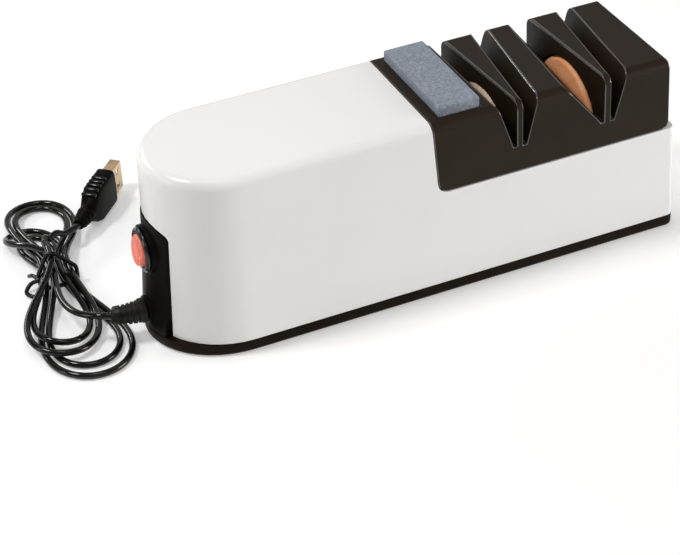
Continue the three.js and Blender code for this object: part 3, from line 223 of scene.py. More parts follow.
def guideBlack(name="guideBlack", ior=1.25, sheen=0.0):
    f = Finish(name, IOR=ior)
    grain = f.noise(size=0.35, detail=4)
    cloud = f.noise(size=25, detail=2)
    streaks = f.noise(size=3, detail=4, rough=0.6, stretch=(1, 6, 1))
    base = f.mottle(cloud, (0.0150, 0.0088, 0.0042), (0.020, 0.0125, 0.0068))
    rubbed = f.band(streaks, low=0.6, high=0.8, toValue=0.4)
    f.feed("Base Color", f.blend(rubbed, base, (0.024, 0.019, 0.015)))
    f.feed("Roughness", f.drift(cloud, 0.42 - sheen, 0.49 - sheen) + grain * 0.08)
    f.bump(grain, strength=0.2, depth=0.03)
    return f.material


def redGloss():
    f = Finish("redGloss", IOR=1.5)
    cloud = f.noise(size=5, detail=2)
    f.feed("Base Color", f.mottle(cloud, (0.98, 0.20, 0.125), (1.0, 0.25, 0.165)))
    f.feed("Roughness", f.drift(cloud, 0.24, 0.32))
    f.bump(cloud, strength=0.04, depth=0.03)
    return f.material


def sharpeningStone():
    f = Finish("sharpeningStone", IOR=1.4)
    patch = f.noise(size=1.5, detail=5, rough=0.75)
    speck = f.noise(size=0.42, detail=2, rough=0.6)
    pore = f.grains(size=0.6)
    base = f.ramp(
        patch, (0.32, (0.15, 0.175, 0.215)), (0.5, (0.225, 0.255, 0.30)), (0.7, (0.315, 0.345, 0.39)))
    darkSpecks = f.band(speck, low=0.36, high=0.3, toValue=0.55)
    paleSpecks = f.band(speck, low=0.6, high=0.68, toValue=0.7)
    specked = f.blend(darkSpecks, base, (0.085, 0.10, 0.14))
    f.feed("Base Color", f.blend(paleSpecks, specked, (0.5, 0.55, 0.62)))
    f.feed("Roughness", f.drift(patch, 0.82, 0.95))
    f.bump(patch * 0.7 + speck * 0.6 + pore * 0.4, strength=0.45, depth=0.14)
    return f.material


def abrasive(name, deep, pale, grain):
    # grain is the size of a grit in millimetres
    f = Finish(name, IOR=1.4)
    grit = f.grains(grain)
    patch = f.noise(size=6, detail=4, rough=0.6)
    speck = f.noise(size=grain * 1.4, detail=3, rough=0.7)
    base = f.blend(f.band(patch, low=0.35, high=0.65), deep, pale)
    shade = tuple(c * 0.75 for c in deep)
    shadeSpecks = f.band(speck, low=0.4, high=0.28, toValue=0.45)
    f.feed("Base Color", f.blend(shadeSpecks, base, shade))
    f.feed("Roughness", f.drift(speck, 0.42, 0.6))
    f.bump(grit * 0.8 + speck * 0.5, strength=0.2, depth=grain * 0.3)
    return f.material


def cordSkin(name="cordSkin", ior=1.42, rough=0.11):
    f = Finish(name, IOR=ior)
    cloud = f.noise(size=7, detail=2)
    f.feed("Base Color", f.mottle(cloud, (0.0035, 0.003, 0.0027), (0.006, 0.0052, 0.0045)))
    f.feed("Roughness", f.drift(cloud, rough - 0.02, rough + 0.04))
    f.bump(f.noise(size=1.6, detail=2), strength=0.06, depth=0.05)
    return f.material


def softBlack(name, rough):
    f = Finish(name, IOR=1.3)
    cloud = f.noise(size=4, detail=3)
    f.feed("Base Color", f.mottle(cloud, (0.0065, 0.006, 0.0055), (0.012, 0.011, 0.010)))
    f.feed("Roughness", f.drift(cloud, rough - 0.05, rough + 0.07))
    f.bump(f.noise(size=0.25, detail=3), strength=0.2, depth=0.03)
    return f.material


def metal(name, colour, stretch, rough=0.3):
    f = Finish(name, Metallic=1.0)
    streak = f.noise(size=0.6, detail=4, rough=0.6, stretch=stretch)
    cloud = f.noise(size=9, detail=2)
    brighter = tuple(min(1, c * 1.18) for c in colour)
    f.feed("Base Color", f.mottle(cloud, colour, brighter))
    f.feed("Roughness", f.drift(streak, rough - 0.06, rough + 0.1))
    f.bump(streak, strength=0.1, depth=0.01)
    return f.material


def sinteredBronze():
    f = Finish("sinteredBronze", Metallic=1.0)
    grit = f.grains(size=0.3)
    pale = f.band(grit, low=0.1, high=0.6)
    f.feed("Base Color", f.blend(pale, (0.36, 0.24, 0.11), (0.62, 0.45, 0.22)))
    f.feed("Roughness", f.band(grit, low=0.1, high=0.6, fromValue=0.5, toValue=0.34))
    f.bump(grit, strength=0.25, depth=0.03)
    return f.material


def boardGreen():
    f = Finish("boardGreen", IOR=1.5)
    tracks = f.node("ShaderNodeTexBrick", {"offset": 0.5}, {
        "Vector": f.place(stretch=(1, 0.6, 1)),
        "Scale": 260.0,
        "Mortar Size": 0.018,
        "Color1": (0.02, 0.13, 0.05),
        "Color2": (0.025, 0.15, 0.06),
        "Mortar": (0.05, 0.24, 0.10),
    })
    dim = f.drift(f.noise(size=4, detail=2), 0, 0.4)
    f.feed("Base Color", f.blend(dim, tracks, (0.015, 0.09, 0.035)))
    f.feed("Roughness", f.drift(f.noise(size=2, detail=2), 0.3, 0.45))
    return f.material


def whiteNylon():
    f = Finish("whiteNylon", IOR=1.5)
    cloud = f.noise(size=2, detail=2)
    f.feed("Base Color", f.mottle(cloud, (0.72, 0.70, 0.66), (0.8, 0.79, 0.76)))
    f.feed("Roughness", f.drift(cloud, 0.4, 0.52))
    return f.material


finishes = {
    "glossShell": glossShell(),
    # the shell's bevelled edges: glossier, and painted whiter than the shell as a painted highlight along
    # edges and seams
    "glossRimPaintedHighlight": glossShell("glossRimPaintedHighlight", pale=(1.0, 0.995, 0.99), deep=(0.98, 0.975, 0.97), rough=0.14),
    "satinBlack": satinBlack(),
    "baseBlack": satinBlack("baseBlack", colour=(0.0075, 0.0042, 0.0019), rough=0.4, ior=1.16),
    "guideBlack": guideBlack(),
    "guideEdge": guideBlack("guideEdge", ior=2.0, sheen=0.2),
    "ringGloss": satinBlack("ringGloss", colour=(0.004, 0.0036, 0.0033), rough=0.14, ior=1.5),
    "redGloss": redGloss(),
    "stone": sharpeningStone(),
    "orangeGrit": abrasive("orangeGrit", deep=(0.92, 0.36, 0.15), pale=(1.0, 0.47, 0.23), grain=0.4),
    "ivoryGrit": abrasive("ivoryGrit", deep=(0.93, 0.68, 0.47), pale=(1.0, 0.80, 0.60), grain=0.3),
    "cordSkin": cordSkin(),
    "tieSkin": cordSkin("tieSkin", ior=1.36, rough=0.2),
    "softBlack": softBlack("softBlack", rough=0.42),
    "footRubber": softBlack("footRubber", rough=0.75),
    "steel": metal("steel", colour=(0.55, 0.55, 0.56), stretch=(1, 14, 14)),
    "warmPlate": metal("warmPlate", colour=(0.60, 0.43, 0.26), stretch=(1, 10, 10)),
    "bronze": sinteredBronze(),
    "board": boardGreen(),
    "frameGrey": satinBlack("frameGrey", colour=(0.035, 0.035, 0.036), rough=0.55),
    "nylon": whiteNylon(),
}
print("stage: finishes")


# helpers for pieces
def deselectAll():
    if bpy.context.mode != "OBJECT":
        bpy.ops.object.mode_set(mode="OBJECT")
    bpy.ops.object.select_all(action="DESELECT")


def makeActive(piece):
    deselectAll()
    piece.select_set(True)
    bpy.context.view_layer.objects.active = piece


def settle(piece):
    # the piece's place goes into its mesh
    makeActive(piece)
    bpy.ops.object.transform_apply(location=True, rotation=True, scale=True)


def applyModifiers(piece):
    makeActive(piece)
    for modifier in list(piece.modifiers):
        bpy.ops.object.modifier_apply(modifier=modifier.name)


def smooth(piece, angle):
    makeActive(piece)
    bpy.ops.object.shade_smooth_by_angle(angle=math.radians(angle))


def dress(piece, name, body, finish, nodes=(), edges=None):
    # names, finishes and ties a piece to its body, and hides the nodes it replaces
    piece.name = name
    piece.data.name = name
    if not piece.data.materials:
        piece.data.materials.append(None)
    piece.data.materials[0] = finishes[finish]
    if edges:
        piece.data.materials[1] = finishes[edges]
    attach(piece, body)
    if nodes:
        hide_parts(*nodes)
    return piece


def roundEdges(piece, width, segments, angle, clamp=True, edgeSlot=None):
    bevel = piece.modifiers.new("edges", "BEVEL")
    bevel.width = width * mm
    bevel.segments = segments
    bevel.limit_method = "ANGLE"
    bevel.angle_limit = math.radians(angle)
    bevel.use_clamp_overlap = clamp
    if edgeSlot is not None:
        bevel.material = edgeSlot
    applyModifiers(piece)


tubeRoundness = 4


def tube(name, runs, radius):
    # a round strand along each run of points
    curve = bpy.data.curves.new(name, "CURVE")
    curve.dimensions = "3D"
    curve.bevel_depth = radius * mm
    curve.bevel_resolution = tubeRoundness
    curve.use_fill_caps = True
    for run in runs:
        spline = curve.splines.new("POLY")
        spline.points.add(len(run) - 1)
        for place, point in zip(spline.points, run):
            place.co = (*point, 1)
        spline.use_smooth = True
    piece = bpy.data.objects.new(name, curve)
    bpy.context.scene.collection.objects.link(piece)
    return piece


refining = {"mergeReach": 0.002, "flatAngle": 1.0, "edgeAngle": 30, "smoothAngle": 32}


def refinedCopy(node, width, segments, edges, clamp):
    # a merged copy of the node, with its flats cleaned and its edges rounded
    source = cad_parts[node]
    piece = bpy.data.objects.new(node + "_skin", source.data.copy())
    bpy.context.scene.collection.objects.link(piece)
    piece.data.materials.clear()
    for _ in range(2 if edges else 1):
        piece.data.materials.append(None)
    makeActive(piece)
    bpy.ops.object.mode_set(mode="EDIT")
    bpy.ops.mesh.select_all(action="SELECT")
    bpy.ops.mesh.remove_doubles(threshold=refining["mergeReach"] * mm)
    bpy.ops.mesh.dissolve_limited(angle_limit=math.radians(refining["flatAngle"]))
    if not clamp:
        bpy.ops.mesh.quads_convert_to_tris(quad_method="BEAUTY", ngon_method="BEAUTY")
    bpy.ops.object.mode_set(mode="OBJECT")
    roundEdges(piece, width, segments, refining["edgeAngle"], clamp, 1 if edges else None)
    smooth(piece, refining["smoothAngle"])
    if edges:
        weigh = piece.modifiers.new("normals", "WEIGHTED_NORMAL")
        weigh.keep_sharp = True
        applyModifiers(piece)
    return piece


# cord: straight out of the exit, through the tied bundle and on to the plug
cordRoute = {
    "radius": 1.3,
    "pitch": 3.3,
    "ground": 1.35,
    "gap": 0.3,
    "waist": (-22, 48.75),
    "waistAngle": 6.4,
    "waistStraight": 12,
    "waistFace": 9,
    "tieLift": 1.9,
    "tieLiftEnd": 24,
    "sidewaysShare": 0.6,
    "climbShare": 0.35,
    "leadMiddle": [(-22.5, 7.25, 11.4), (-27.2, 16.25, 10.4), (-27.4, 26.75, 9.6)],
    "tailMiddle": [(-21.2, 64.25, 12.6), (-16.6, 66.75, 11.4)],
    # where the strand crosses the waist: side, place from the middle, layer
    "crossings": [
        (-1, 0, 2), (1, 1, 0), (-1, 1, 0), (1, 0, 0), (-1, 0, 1),
        (1, 0, 1), (-1, 1, 1), (1, 1, 1), (-1, 0, 3),
    ],
    # half loops, far and near in turn: radius and reach in strand pitches, swing in degrees, layer
    "halfLoops": [
        (2.61, 10.12, 17.8, 0), (4.37, 19.85, -3.2, 0), (1.58, 9.09, 17.8, 0),
        (2.87, 18.23, -3.2, 0), (2.18, 15.76, -3.2, 1), (2.4, 13.98, 9.5, 1),
        (3.27, 16.85, -3.2, 1), (3.7, 15.3, 9.5, 1),
    ],
    "legSteps": 8,
    "turnSteps": 14,
    "spanSteps": 9,
}


def smoothStep(value, low, high):
    share = min(max((value - low) / (high - low), 0), 1)
    return share * share * (3 - 2 * share)


def layerHeight(layer):
    return cordRoute["ground"] + layer * cordRoute["pitch"]


def hankPoint(across, along, height):
    r = cordRoute
    lift = r["tieLift"] * (1 - smoothStep(abs(along), r["waistStraight"], r["tieLiftEnd"]))
    turn = math.radians(r["waistAngle"])
    x = r["waist"][0] + along * math.sin(turn) + across * math.cos(turn)
    y = r["waist"][1] + along * math.cos(turn) - across * math.sin(turn)
    return at(x, y, height + lift)


def crossingPoint(crossing, along):
    side, nest, layer = crossing
    return hankPoint(side * (nest + 0.5) * cordRoute["pitch"], along, layerHeight(layer))


def halfLoopPoints(number):
    r = cordRoute
    turnShare, reachShare, swing, layer = r["halfLoops"][number]
    radius = turnShare * r["pitch"]
    way = 1 if number % 2 == 0 else -1
    centre = reachShare * r["pitch"] - radius
    fullSwing = math.radians(swing) * way

    def place(across, along, height, share):
        angle = fullSwing * smoothStep(share, 0, 1)
        outward = way * along
        return hankPoint(
            across * math.cos(angle) - outward * math.sin(angle),
            across * math.sin(angle) + outward * math.cos(angle),
            height)

    def leg(crossing, share):
        side, nest, crossingLayer = crossing
        start = (nest + 0.5) * r["pitch"]
        out = start + (radius - start) * smoothStep(share, 0, r["sidewaysShare"])
        climbStart = 1 - r["sidewaysShare"]
        climb = smoothStep(share, climbStart, climbStart + r["climbShare"])
        low, high = layerHeight(crossingLayer), layerHeight(layer)
        along = r["waistStraight"] + (centre - r["waistStraight"]) * share
        return place(side * out, along, low + (high - low) * climb, share)

    first, last = r["crossings"][number], r["crossings"][number + 1]
    points = [leg(first, step / r["legSteps"]) for step in range(r["legSteps"] + 1)]
    for step in range(1, r["turnSteps"]):
        angle = step / r["turnSteps"] * math.pi
        across = first[0] * radius * math.cos(angle)
        points.append(place(across, centre + radius * math.sin(angle), layerHeight(layer), 1))
    points += [leg(last, step / r["legSteps"]) for step in range(r["legSteps"], -1, -1)]
    return points


# the strain relief's path: straight out of its root, then a bend in the table's plane
reliefPath = {"root": -2.4344, "height": 11.6, "length": 12.5, "straight": 2.5, "turn": 21}


def reliefPoint(distance):
    r = reliefPath
    straight = r["straight"]
    root = r["root"]
    if distance <= straight:
        return at(root - distance, 0, r["height"])
    bend = r["length"] - straight
    turn = math.radians(r["turn"])
    angle = turn * (distance - straight) / bend
    radius = bend / turn
    return at(root - straight - radius * math.sin(angle), radius * (1 - math.cos(angle)), r["height"])


plugPlace = {"joint": (0.7, 77.15), "angle": 48.5, "neck": 9.3, "height": 15.4, "ground": 0.1}


def plugPoint(distance):
    p = plugPlace
    reach = distance - p["neck"]
    turn = math.radians(p["angle"])
    return at(
        p["joint"][0] + reach * math.cos(turn), p["joint"][1] + reach * math.sin(turn),
        p["ground"] + p["height"] / 2)


shortestSpan = 1e-6


def flowing(points, steps):
    # points on a smooth curve through the given ones (centripetal spline)
    def stride(start, end):
        return max((end - start).length, shortestSpan) ** 0.5

    padded = [points[0] * 2 - points[1], *points, points[-1] * 2 - points[-2]]
    found = []
    for a, b, c, d in zip(padded, padded[1:], padded[2:], padded[3:]):
        ta = 0
        tb = ta + stride(a, b)
        tc = tb + stride(b, c)
        td = tc + stride(c, d)
        for step in range(steps):
            t = tb + (tc - tb) * step / steps
            ab = a * ((tb - t) / (tb - ta)) + b * ((t - ta) / (tb - ta))
            bc = b * ((tc - t) / (tc - tb)) + c * ((t - tb) / (tc - tb))
            cd = c * ((td - t) / (td - tc)) + d * ((t - tc) / (td - tc))
            abc = ab * ((tc - t) / (tc - ta)) + bc * ((t - ta) / (tc - ta))
            bcd = bc * ((td - t) / (td - tb)) + cd * ((t - tb) / (td - tb))
            found.append(abc * ((tc - t) / (tc - tb)) + bcd * ((t - tb) / (tc - tb)))
    found.append(points[-1])
    return found


def cordPoints():
    r = cordRoute
    turn = math.radians(r["waistAngle"])
    waistWay = Vector((math.sin(turn), math.cos(turn), 0))
    diameter = 2 * r["radius"]
    stub = diameter * mm
    length = reliefPath["length"]
    exitWay = (reliefPoint(length) - reliefPoint(length - r["radius"])).normalized()
    start = reliefPoint(length) + exitWay * r["gap"] * mm
    hankStart = crossingPoint(r["crossings"][0], -r["waistFace"])
    hankEnd = crossingPoint(r["crossings"][-1], r["waistFace"])
    leadMiddle = [at(*point) for point in r["leadMiddle"]]
    tailMiddle = [at(*point) for point in r["tailMiddle"]]
    lead = [start, start + exitWay * stub, *leadMiddle, hankStart - waistWay * stub, hankStart]
    plugEnd = [plugPoint(-r["gap"] - diameter), plugPoint(-r["gap"])]
    tail = [hankEnd, hankEnd + waistWay * stub, *tailMiddle, *plugEnd]
    points = flowing(lead, r["spanSteps"])
    for number in range(len(r["halfLoops"])):
        points += halfLoopPoints(number)
    points += flowing(tail, r["spanSteps"])
    return points


# what the lying cord does by itself: its bends even out, and strands rest beside and on each other
cordRest = {
    "spacing": 4.2,
    "between": 4,
    "rounds": 220,
    "bendShares": {1: 0.09, 2: 0.05},  # by how many nodes apart the bend is felt
    "stretchPasses": 6,
    "reach": 2.98,
    "ownRun": 10,
    "waistHold": 6.5,
    "waistReach": 16,
    "endsHeld": 2,
    "sink": 0.02,
    "ceiling": 14,
    "spread": 1.5,
    "curveSteps": 3,
}


def evenPoints(points, spacing):
    lengths = [(b - a).length for a, b in zip(points, points[1:])]
    count = round(sum(lengths) / spacing)
    step = sum(lengths) / count
    found, walked, run = [points[0]], 0, 0
    for number in range(1, count):
        while run + lengths[walked] < number * step:
            run += lengths[walked]
            walked += 1
        share = (number * step - run) / lengths[walked]
        found.append(points[walked].lerp(points[walked + 1], share))
    return [*found, points[-1]], step


def atRest(points):
    w = cordRest
    places, step = evenPoints(points, w["spacing"] * mm)
    last = len(places) - 1
    startWay = (points[1] - points[0]).normalized()
    endWay = (points[-1] - points[-2]).normalized()
    turn = math.radians(cordRoute["waistAngle"])
    waistWay = Vector((math.sin(turn), math.cos(turn), 0))
    middle = at(*cordRoute["waist"], 0)

    def tied(place):
        away = place - middle
        return abs(away.dot(waistWay)) < w["waistHold"] * mm and away.length < w["waistReach"] * mm

    held = [
        index < w["endsHeld"] or index > last - w["endsHeld"] or tied(place)
        for index, place in enumerate(places)]
    free = [index for index in range(last + 1) if not held[index]]
    low = Vector([min(place[axis] for place in points) for axis in range(3)])
    high = Vector([max(place[axis] for place in points) for axis in range(3)])
    low.z, high.z = cordRoute["ground"] * mm, w["ceiling"] * mm
    apart = w["ownRun"] * mm / step
    reach = w["reach"] * mm

    def near(index):
        if index < 0:
            return places[0] + startWay * index * step
        if index > last:
            return places[last] + endWay * (index - last) * step
        return places[index]

    def push(index, shift):
        if 0 <= index <= last and not held[index]:
            places[index] = places[index] + shift

    for _ in range(w["rounds"]):
        moved = []
        for index in free:
            shift = Vector((0, 0, -w["sink"] * mm))
            for stride, share in w["bendShares"].items():
                bend = near(index - 2 * stride) + near(index + 2 * stride) + 6 * places[index]
                shift -= (bend - 4 * (near(index - stride) + near(index + stride))) * share
            moved.append(places[index] + shift)
        for index, place in zip(free, moved):
            places[index] = place
        for _ in range(w["stretchPasses"]):
            for index in range(last):
                gap = places[index + 1] - places[index]
                shift = gap * (0.5 - 0.5 * step / gap.length)
                push(index, shift)
                push(index + 1, -shift)
        marks = [
            (index + part / w["between"], places[index].lerp(places[index + 1], part / w["between"]))
            for index in range(last) for part in range(w["between"])]
        tree = kdtree.KDTree(len(marks))
        for number, (along, place) in enumerate(marks):
            tree.insert(place, number)
        tree.balance()
        for along, place in marks:
            for other, number, distance in tree.find_range(place, reach):
                if abs(marks[number][0] - along) > apart and distance > 0:
                    away = (place - other) * ((reach - distance) / distance / w["between"] * w["spread"])
                    index = int(along)
                    push(index, away * (1 - along + index))
                    push(index + 1, away * (along - index))
        for index in free:
            for axis in range(3):
                places[index][axis] = min(max(places[index][axis], low[axis]), high[axis])
    return flowing(places, w["curveSteps"])


def makeCord():
    points = atRest(cordPoints())
    cord = tube("cord", [points], cordRoute["radius"])
    dress(cord, "cord", "body", "cordSkin", ("cord_lead", "cord_hank", "cord_tail"))
    length = sum((b - a).length for a, b in zip(points, points[1:]))
    return cord, points[0], length


cord, cordExit, cordLength = makeCord()
print("stage: cord", round(cordLength, 4))

# turned pieces: a profile of (radius, place) in millimetres, spun round an axis along x
turning = {"mergeReach": 0.001, "smoothAngle": 40}


def turned(profile, centre, steps):
    bpy.ops.mesh.primitive_plane_add(size=mm, location=(0, 0, 0))
    piece = bpy.context.object
    bpy.ops.object.mode_set(mode="EDIT")
    bpy.ops.mesh.select_all(action="SELECT")
    bpy.ops.mesh.merge(type="CENTER")
    places = [centre + Vector((along * mm, 0, radius * mm)) for radius, along in profile]
    bpy.ops.transform.translate(value=places[0])
    for before, after in zip(places, places[1:]):
        bpy.ops.mesh.extrude_region_move(TRANSFORM_OT_translate={"value": after - before})
    bpy.ops.mesh.select_all(action="SELECT")
    bpy.ops.mesh.spin(steps=steps, angle=2 * math.pi, center=centre, axis=(1, 0, 0))
    bpy.ops.mesh.select_all(action="SELECT")
    bpy.ops.mesh.remove_doubles(threshold=turning["mergeReach"] * mm)
    bpy.ops.mesh.normals_make_consistent(inside=False)
    bpy.ops.object.mode_set(mode="OBJECT")
    smooth(piece, turning["smoothAngle"])
    return piece


# abrasive wheels: a flat hub, a domed side and a rounded rim
wheels = {
    "radius": 20.7,
    "hub": 7.0,
    "bore": 3.3,
    "boreRound": 0.3,
    "round": 1.9,
    "rise": 1.4,
    "domeSteps": 10,
    "rimSteps": 6,
    "turnSteps": 72,
    # half thickness at the rim and at the hub
    "fine_wheel": {
        "name": "fine_abrasive", "finish": "ivoryGrit", "slot": "ivory_abrasive",
        "rim": 3.4, "thick": 5.2,
    },
    "coarse_wheel": {
        "name": "coarse_abrasive", "finish": "orangeGrit", "slot": "orange_abrasive",
        "rim": 4.2, "thick": 6.0,
    },
}


def makeWheel(node):
    w = {**wheels, **wheels[node]}
    shoulder = w["radius"] - w["round"]
    side = [(w["bore"], w["thick"] - w["boreRound"]), (w["bore"] + w["boreRound"], w["thick"])]
    for step in range(w["domeSteps"] + 1):
        share = step / w["domeSteps"]
        radius = w["hub"] + (shoulder - w["hub"]) * share
        side.append((radius, w["thick"] + (w["rim"] - w["thick"]) * share ** w["rise"]))
    for step in range(1, w["rimSteps"] + 1):
        angle = step / w["rimSteps"] * math.pi / 2
        drop = w["round"] * (1 - math.cos(angle))
        side.append((shoulder + w["round"] * math.sin(angle), w["rim"] - drop))
    profile = [(radius, -along) for radius, along in side] + side[::-1]
    low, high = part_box(node)
    piece = turned(profile + profile[:1], (low + high) / 2, w["turnSteps"])
    return dress(piece, w["name"], "spindle", w["finish"], (node,))


fine = makeWheel("fine_wheel")
coarse = makeWheel("coarse_wheel")
print("stage: wheels")

# strain relief: a collar, then a tapered sleeve with narrow slits, bent along with the cord
reliefForm = {
    "inside": -5.9,
    "core": 0.4,
    "neck": 3.0,
    "face": 0.3,
    "collar": 4.7,
    "collarEnd": 2.3,
    "start": 4.35,
    "tip": 3.45,
    "slits": 4,
    "firstSlit": 3.3,
    "slitPitch": 1.8,
    "slitWidth": 0.8,
    "slitDepth": 0.5,
    "slitSlope": 0.1,
    "round": 0.3,
    "turnSteps": 40,
    "smoothAngle": 40,
}


def makeRelief():
    r = reliefForm
    length = reliefPath["length"]
    straight = reliefPath["straight"]

    def sleeve(place):
        return r["start"] + (r["tip"] - r["start"]) * (place - r["collarEnd"]) / (length - r["collarEnd"])

    profile = [(r["core"], r["inside"]), (r["neck"], r["inside"]), (r["neck"], r["face"])]
    profile += [(r["collar"] - r["round"], r["face"]), (r["collar"], r["face"] + r["round"])]
    profile += [(r["collar"], r["collarEnd"] - r["round"]), (sleeve(r["collarEnd"]), r["collarEnd"])]
    for slit in range(r["slits"]):
        start = r["firstSlit"] + slit * r["slitPitch"]
        end = start + r["slitWidth"]
        profile += [(sleeve(start), start), (sleeve(start) - r["slitDepth"], start + r["slitSlope"])]
        profile += [(sleeve(end) - r["slitDepth"], end - r["slitSlope"]), (sleeve(end), end)]
    profile += [(r["tip"], length - r["round"]), (r["tip"] - r["round"], length), (r["core"], length)]
    outline = [(radius, -place) for radius, place in profile + profile[:1]]
    piece = turned(outline, Vector((0, 0, 0)), r["turnSteps"])
    turn = math.radians(reliefPath["turn"])
    for vertex in piece.data.vertices:
        place = -vertex.co.x / mm
        share = max(place - straight, 0) / (length - straight)
        side = Vector((math.sin(turn * share), math.cos(turn * share), 0))
        vertex.co = reliefPoint(place) + side * vertex.co.y + Vector((0, 0, vertex.co.z))
    smooth(piece, r["smoothAngle"])
    return dress(piece, "relief", "body", "softBlack", ("strain_relief",))


# tie: a loop drawn round the strands at the waist, a knot and two loose ends
tieForm = {
    "radius": 0.85,
    "room": 0.2,
    "place": -4,
    "slant": 2.4,
    "bendSteps": 6,
    "ringSteps": 4,
    "endSteps": 8,
    # the outer strands by place and layer, then the loose ends across, along and up, in strand pitches
    "corners": [(-1.5, 0), (1.5, 0), (1.5, 1), (-0.5, 3), (-1.5, 1)],
    "hook": [(-3.3, -0.9, 0.9), (-3.95, -1.7, 0.4), (-3.2, -2.6, 0.3), (-2.5, -1.9, 0.4)],
    "tail": [(-2.75, 0.1, 1.3), (-3.1, 0.95, 0.8)],
}


def makeTie():
    t = tieForm
    pitch = cordRoute["pitch"]
    reach = cordRoute["radius"] + t["room"] + t["radius"]
    corners = [(nest * pitch, layerHeight(layer)) for nest, layer in t["corners"]]
    outline = []
    for before, corner, after in zip(corners[-1:] + corners[:-1], corners, corners[1:] + corners[:1]):
        start = math.atan2(corner[1] - before[1], corner[0] - before[0]) - math.pi / 2
        end = math.atan2(after[1] - corner[1], after[0] - corner[0]) - math.pi / 2
        turn = (end - start) % (2 * math.pi)
        for step in range(t["bendSteps"] + 1):
            angle = start + turn * step / t["bendSteps"]
            outline.append((corner[0] + reach * math.cos(angle), corner[1] + reach * math.sin(angle)))
    middle = ((outline[0][0] + outline[-1][0]) / 2, (outline[0][1] + outline[-1][1]) / 2)
    outline = [middle, *outline, middle]
    ring = [
        hankPoint(across, t["place"] + t["slant"] * (number / (len(outline) - 1) - 0.5), height)
        for number, (across, height) in enumerate(outline)]
    knot = hankPoint(middle[0], t["place"], middle[1])
    runs = [flowing(ring, t["ringSteps"])]
    for end in ("hook", "tail"):
        places = [
            hankPoint(across * pitch, along * pitch, up * pitch - cordRoute["tieLift"])
            for across, along, up in t[end]]
        runs.append(flowing([knot, *places], t["endSteps"]))
    return dress(tube("tie", runs, t["radius"]), "tie", "body", "tieSkin", ("cord_tie",))


relief = makeRelief()
tie = makeTie()
print("stage: relief and tie")

# pieces refined from the solids: their edges' width in millimetres and steps, and their finishes
skins = {
    "shell": {
        "node": "housing", "finish": "glossShell", "slot": "white_shell",
        # the shell's edges get the whiter finish, a painted highlight
        "width": 0.55, "segments": 3, "edges": "glossRimPaintedHighlight",
    },
    "guide_block": {
        "node": "slot_insert", "finish": "guideBlack", "slot": "guide_plastic",
        "width": 0.34, "segments": 2, "edges": "guideEdge", "clamp": False,
    },
    "base_tray": {
        "node": "base_plate", "finish": "baseBlack", "slot": "black_plastic", "width": 0.25, "segments": 2,
    },
    "panel": {
        "node": "end_panel", "finish": "satinBlack", "slot": "black_plastic", "width": 0.3, "segments": 3,
    },
    "switch_body": {
        "node": "switch_bezel", "finish": "ringGloss", "slot": "black_plastic", "width": 0.3, "segments": 3,
    },
    "rocker_cap": {
        "node": "switch_rocker", "finish": "redGloss", "slot": "red_plastic", "width": 0.3, "segments": 3,
        "body": "rocker",
    },
    "stone": {
        "node": "whetstone", "finish": "stone", "slot": "whetstone", "width": 0.3, "segments": 3,
    },
    "plug_body": {
        "node": "plug_grip", "finish": "satinBlack", "slot": "black_plastic", "width": 0.25, "segments": 2,
    },
    "plug_metal": {
        "node": "plug_shell", "finish": "warmPlate", "slot": "plated_shell", "width": 0.12, "segments": 2,
    },
    "plug_contacts": {
        "node": "plug_tongue", "finish": "nylon", "slot": "tongue", "width": 0.12, "segments": 2,
    },
}


def makeSkin(name):
    s = {"body": "body", "edges": None, "clamp": True, **skins[name]}
    piece = refinedCopy(s["node"], s["width"], s["segments"], s["edges"], s["clamp"])
    return dress(piece, name, s["body"], s["finish"], (s["node"],), s["edges"])


skinPieces = {name: makeSkin(name) for name in skins}

# rounded bars across the plug's upper edge, between its grooves
ridgeForm = {
    "radius": 0.85,
    "length": 6.2,
    "rise": 0.45,
    "round": 0.3,
    "roundSteps": 3,
    "edgeAngle": 60,
    "sides": 20,
    "smoothAngle": 40,
    # distance from the end of the plug's neck, and how far the edge has dropped there
    "bars": [(12.3, 1.15), (14.9, 0.3), (17.5, 0), (20.1, 0), (22.8, 0)],
}


def makeRidges():
    r = ridgeForm
    bars = []
    for distance, drop in r["bars"]:
        lift = plugPlace["height"] / 2 - drop + r["rise"] - r["radius"]
        bpy.ops.mesh.primitive_cylinder_add(
            vertices=r["sides"], radius=r["radius"] * mm, depth=r["length"] * mm,
            location=plugPoint(distance) + Vector((0, 0, lift)) * mm,
            rotation=(math.pi / 2, 0, math.radians(plugPlace["angle"])))
        bars.append(bpy.context.object)
    for bar in bars:
        bar.select_set(True)
    bpy.ops.object.join()
    piece = bpy.context.object
    settle(piece)
    roundEdges(piece, r["round"], r["roundSteps"], r["edgeAngle"])
    smooth(piece, r["smoothAngle"])
    return dress(piece, "plug_ridges", "body", "cordSkin")


ridges = makeRidges()

# nodes that stay as they are get a finish
innerFinishes = {
    "motor_can": "steel",
    "motor_end_cap": "frameGrey",
    "motor_shaft": "steel",
    "motor_cradle": "frameGrey",
    "shaft_coupling": "bronze",
    "wheel_shaft": "steel",
    "wheel_spacer": "frameGrey",
    "shaft_nut": "steel",
    "bearing_left": "bronze",
    "bearing_right": "bronze",
    "bearing_post_left": "frameGrey",
    "bearing_post_right": "frameGrey",
    "circuit_board": "board",
}
cornerCount = 4
for corner in range(1, cornerCount + 1):
    innerFinishes[f"rubber_foot_{corner}"] = "footRubber"
    innerFinishes[f"base_screw_{corner}"] = "steel"
for node, finish in innerFinishes.items():
    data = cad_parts[node].data
    data.materials.clear()
    data.materials.append(finishes[finish])
print("stage: pieces")

# floor, world and lamps
stageSetup = {
    "floorSize": 6.0,
    "floorColour": 0.78,
    "floorRoughness": 0.9,
    "floorGlow": 0.3,  # the rest of the floor's white comes from the light, and keeps the shadow
    "world": 0.245,
}
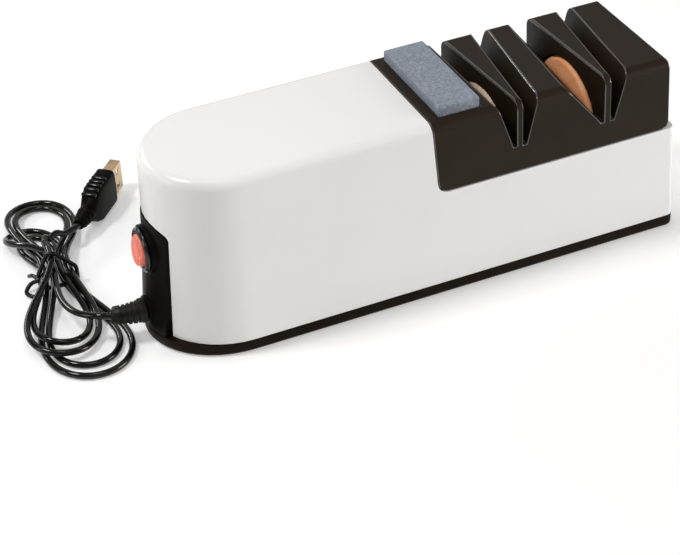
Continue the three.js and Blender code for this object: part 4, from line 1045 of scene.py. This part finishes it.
# place and aim in metres, size in metres, strength in watts
lamps = {
    "top": {
        "place": (-0.1, 0.0, 0.95), "aim": (0.02, 0, 0.05), "size": (0.24, 0.24), "watts": 1.0,
    },
    "front": {
        "place": (1.1, -0.72, 0.32), "aim": (0.04, 0, 0.03), "size": (0.6, 0.5), "watts": 11.6,
        "colour": (1, 0.957, 0.928),
    },
    "back": {
        "place": (-0.5, 0.85, 0.46), "aim": (-0.02, 0.02, 0.05), "size": (0.5, 0.1), "watts": 2.4,
    },
    "spark": {
        "place": (-0.5, 0.1, 0.78), "aim": (-0.03, 0, 0.05), "size": (0.16, 0.16), "watts": 3.0,
    },
    "rim": {
        "place": (-0.1, -0.58, 0.86), "aim": (-0.06, 0, 0.06), "size": (0.5, 0.08), "watts": 0.6,
    },
    "left": {
        "place": (-1.0, 0.05, 0.3), "aim": (-0.1, 0, 0.03), "size": (0.2, 0.3), "watts": 0.9,
        "colour": (1, 0.97, 0.96),
    },
    "sheen": {
        "place": (0.32, 0.82, 0.64), "aim": (0.05, 0, 0.07), "size": (1.2, 0.8), "watts": 1.3,
    },
}


def makeFloor(setup):
    bpy.ops.mesh.primitive_plane_add(size=setup["floorSize"], location=(0, 0, 0))
    floor = bpy.context.object
    floor.name = "floor"
    settle(floor)
    f = Finish("floorFinish")
    grey = setup["floorColour"]
    f.feed("Base Color", (grey, grey, grey))
    f.feed("Roughness", setup["floorRoughness"])
    f.feed("Specular IOR Level", 0.0)
    # the glow is there for the camera and in gloss only, so it doesn't light the object
    path = f.node("ShaderNodeLightPath")
    seen = path + Wire(f, path.socket.node.outputs["Is Glossy Ray"])
    f.feed("Emission Strength", 1.0)
    glow = setup["floorGlow"]
    f.feed("Emission Color", f.blend(seen, (0, 0, 0), (glow, glow, glow)))
    floor.data.materials.append(f.material)


def makeWorld(strength):
    world = bpy.data.worlds.new("studio")
    bpy.context.scene.world = world
    world.use_nodes = True
    background = world.node_tree.nodes["Background"]
    background.inputs["Color"].default_value = (1, 1, 1, 1)
    background.inputs["Strength"].default_value = strength


def addLamp(name, place, aim, size, watts, colour=(1, 1, 1)):
    data = bpy.data.lights.new(name, "AREA")
    data.shape = "RECTANGLE"
    data.size, data.size_y = size
    data.energy = watts
    data.color = colour
    lamp = bpy.data.objects.new(name, data)
    bpy.context.scene.collection.objects.link(lamp)
    lamp.location = place
    lamp.rotation_euler = (Vector(aim) - Vector(place)).to_track_quat("-Z", "Y").to_euler()


makeFloor(stageSetup)
makeWorld(stageSetup["world"])
for lampName, settings in lamps.items():
    addLamp(lampName, **settings)
bpy.context.scene.view_settings.view_transform = "Standard"
print("stage: light")
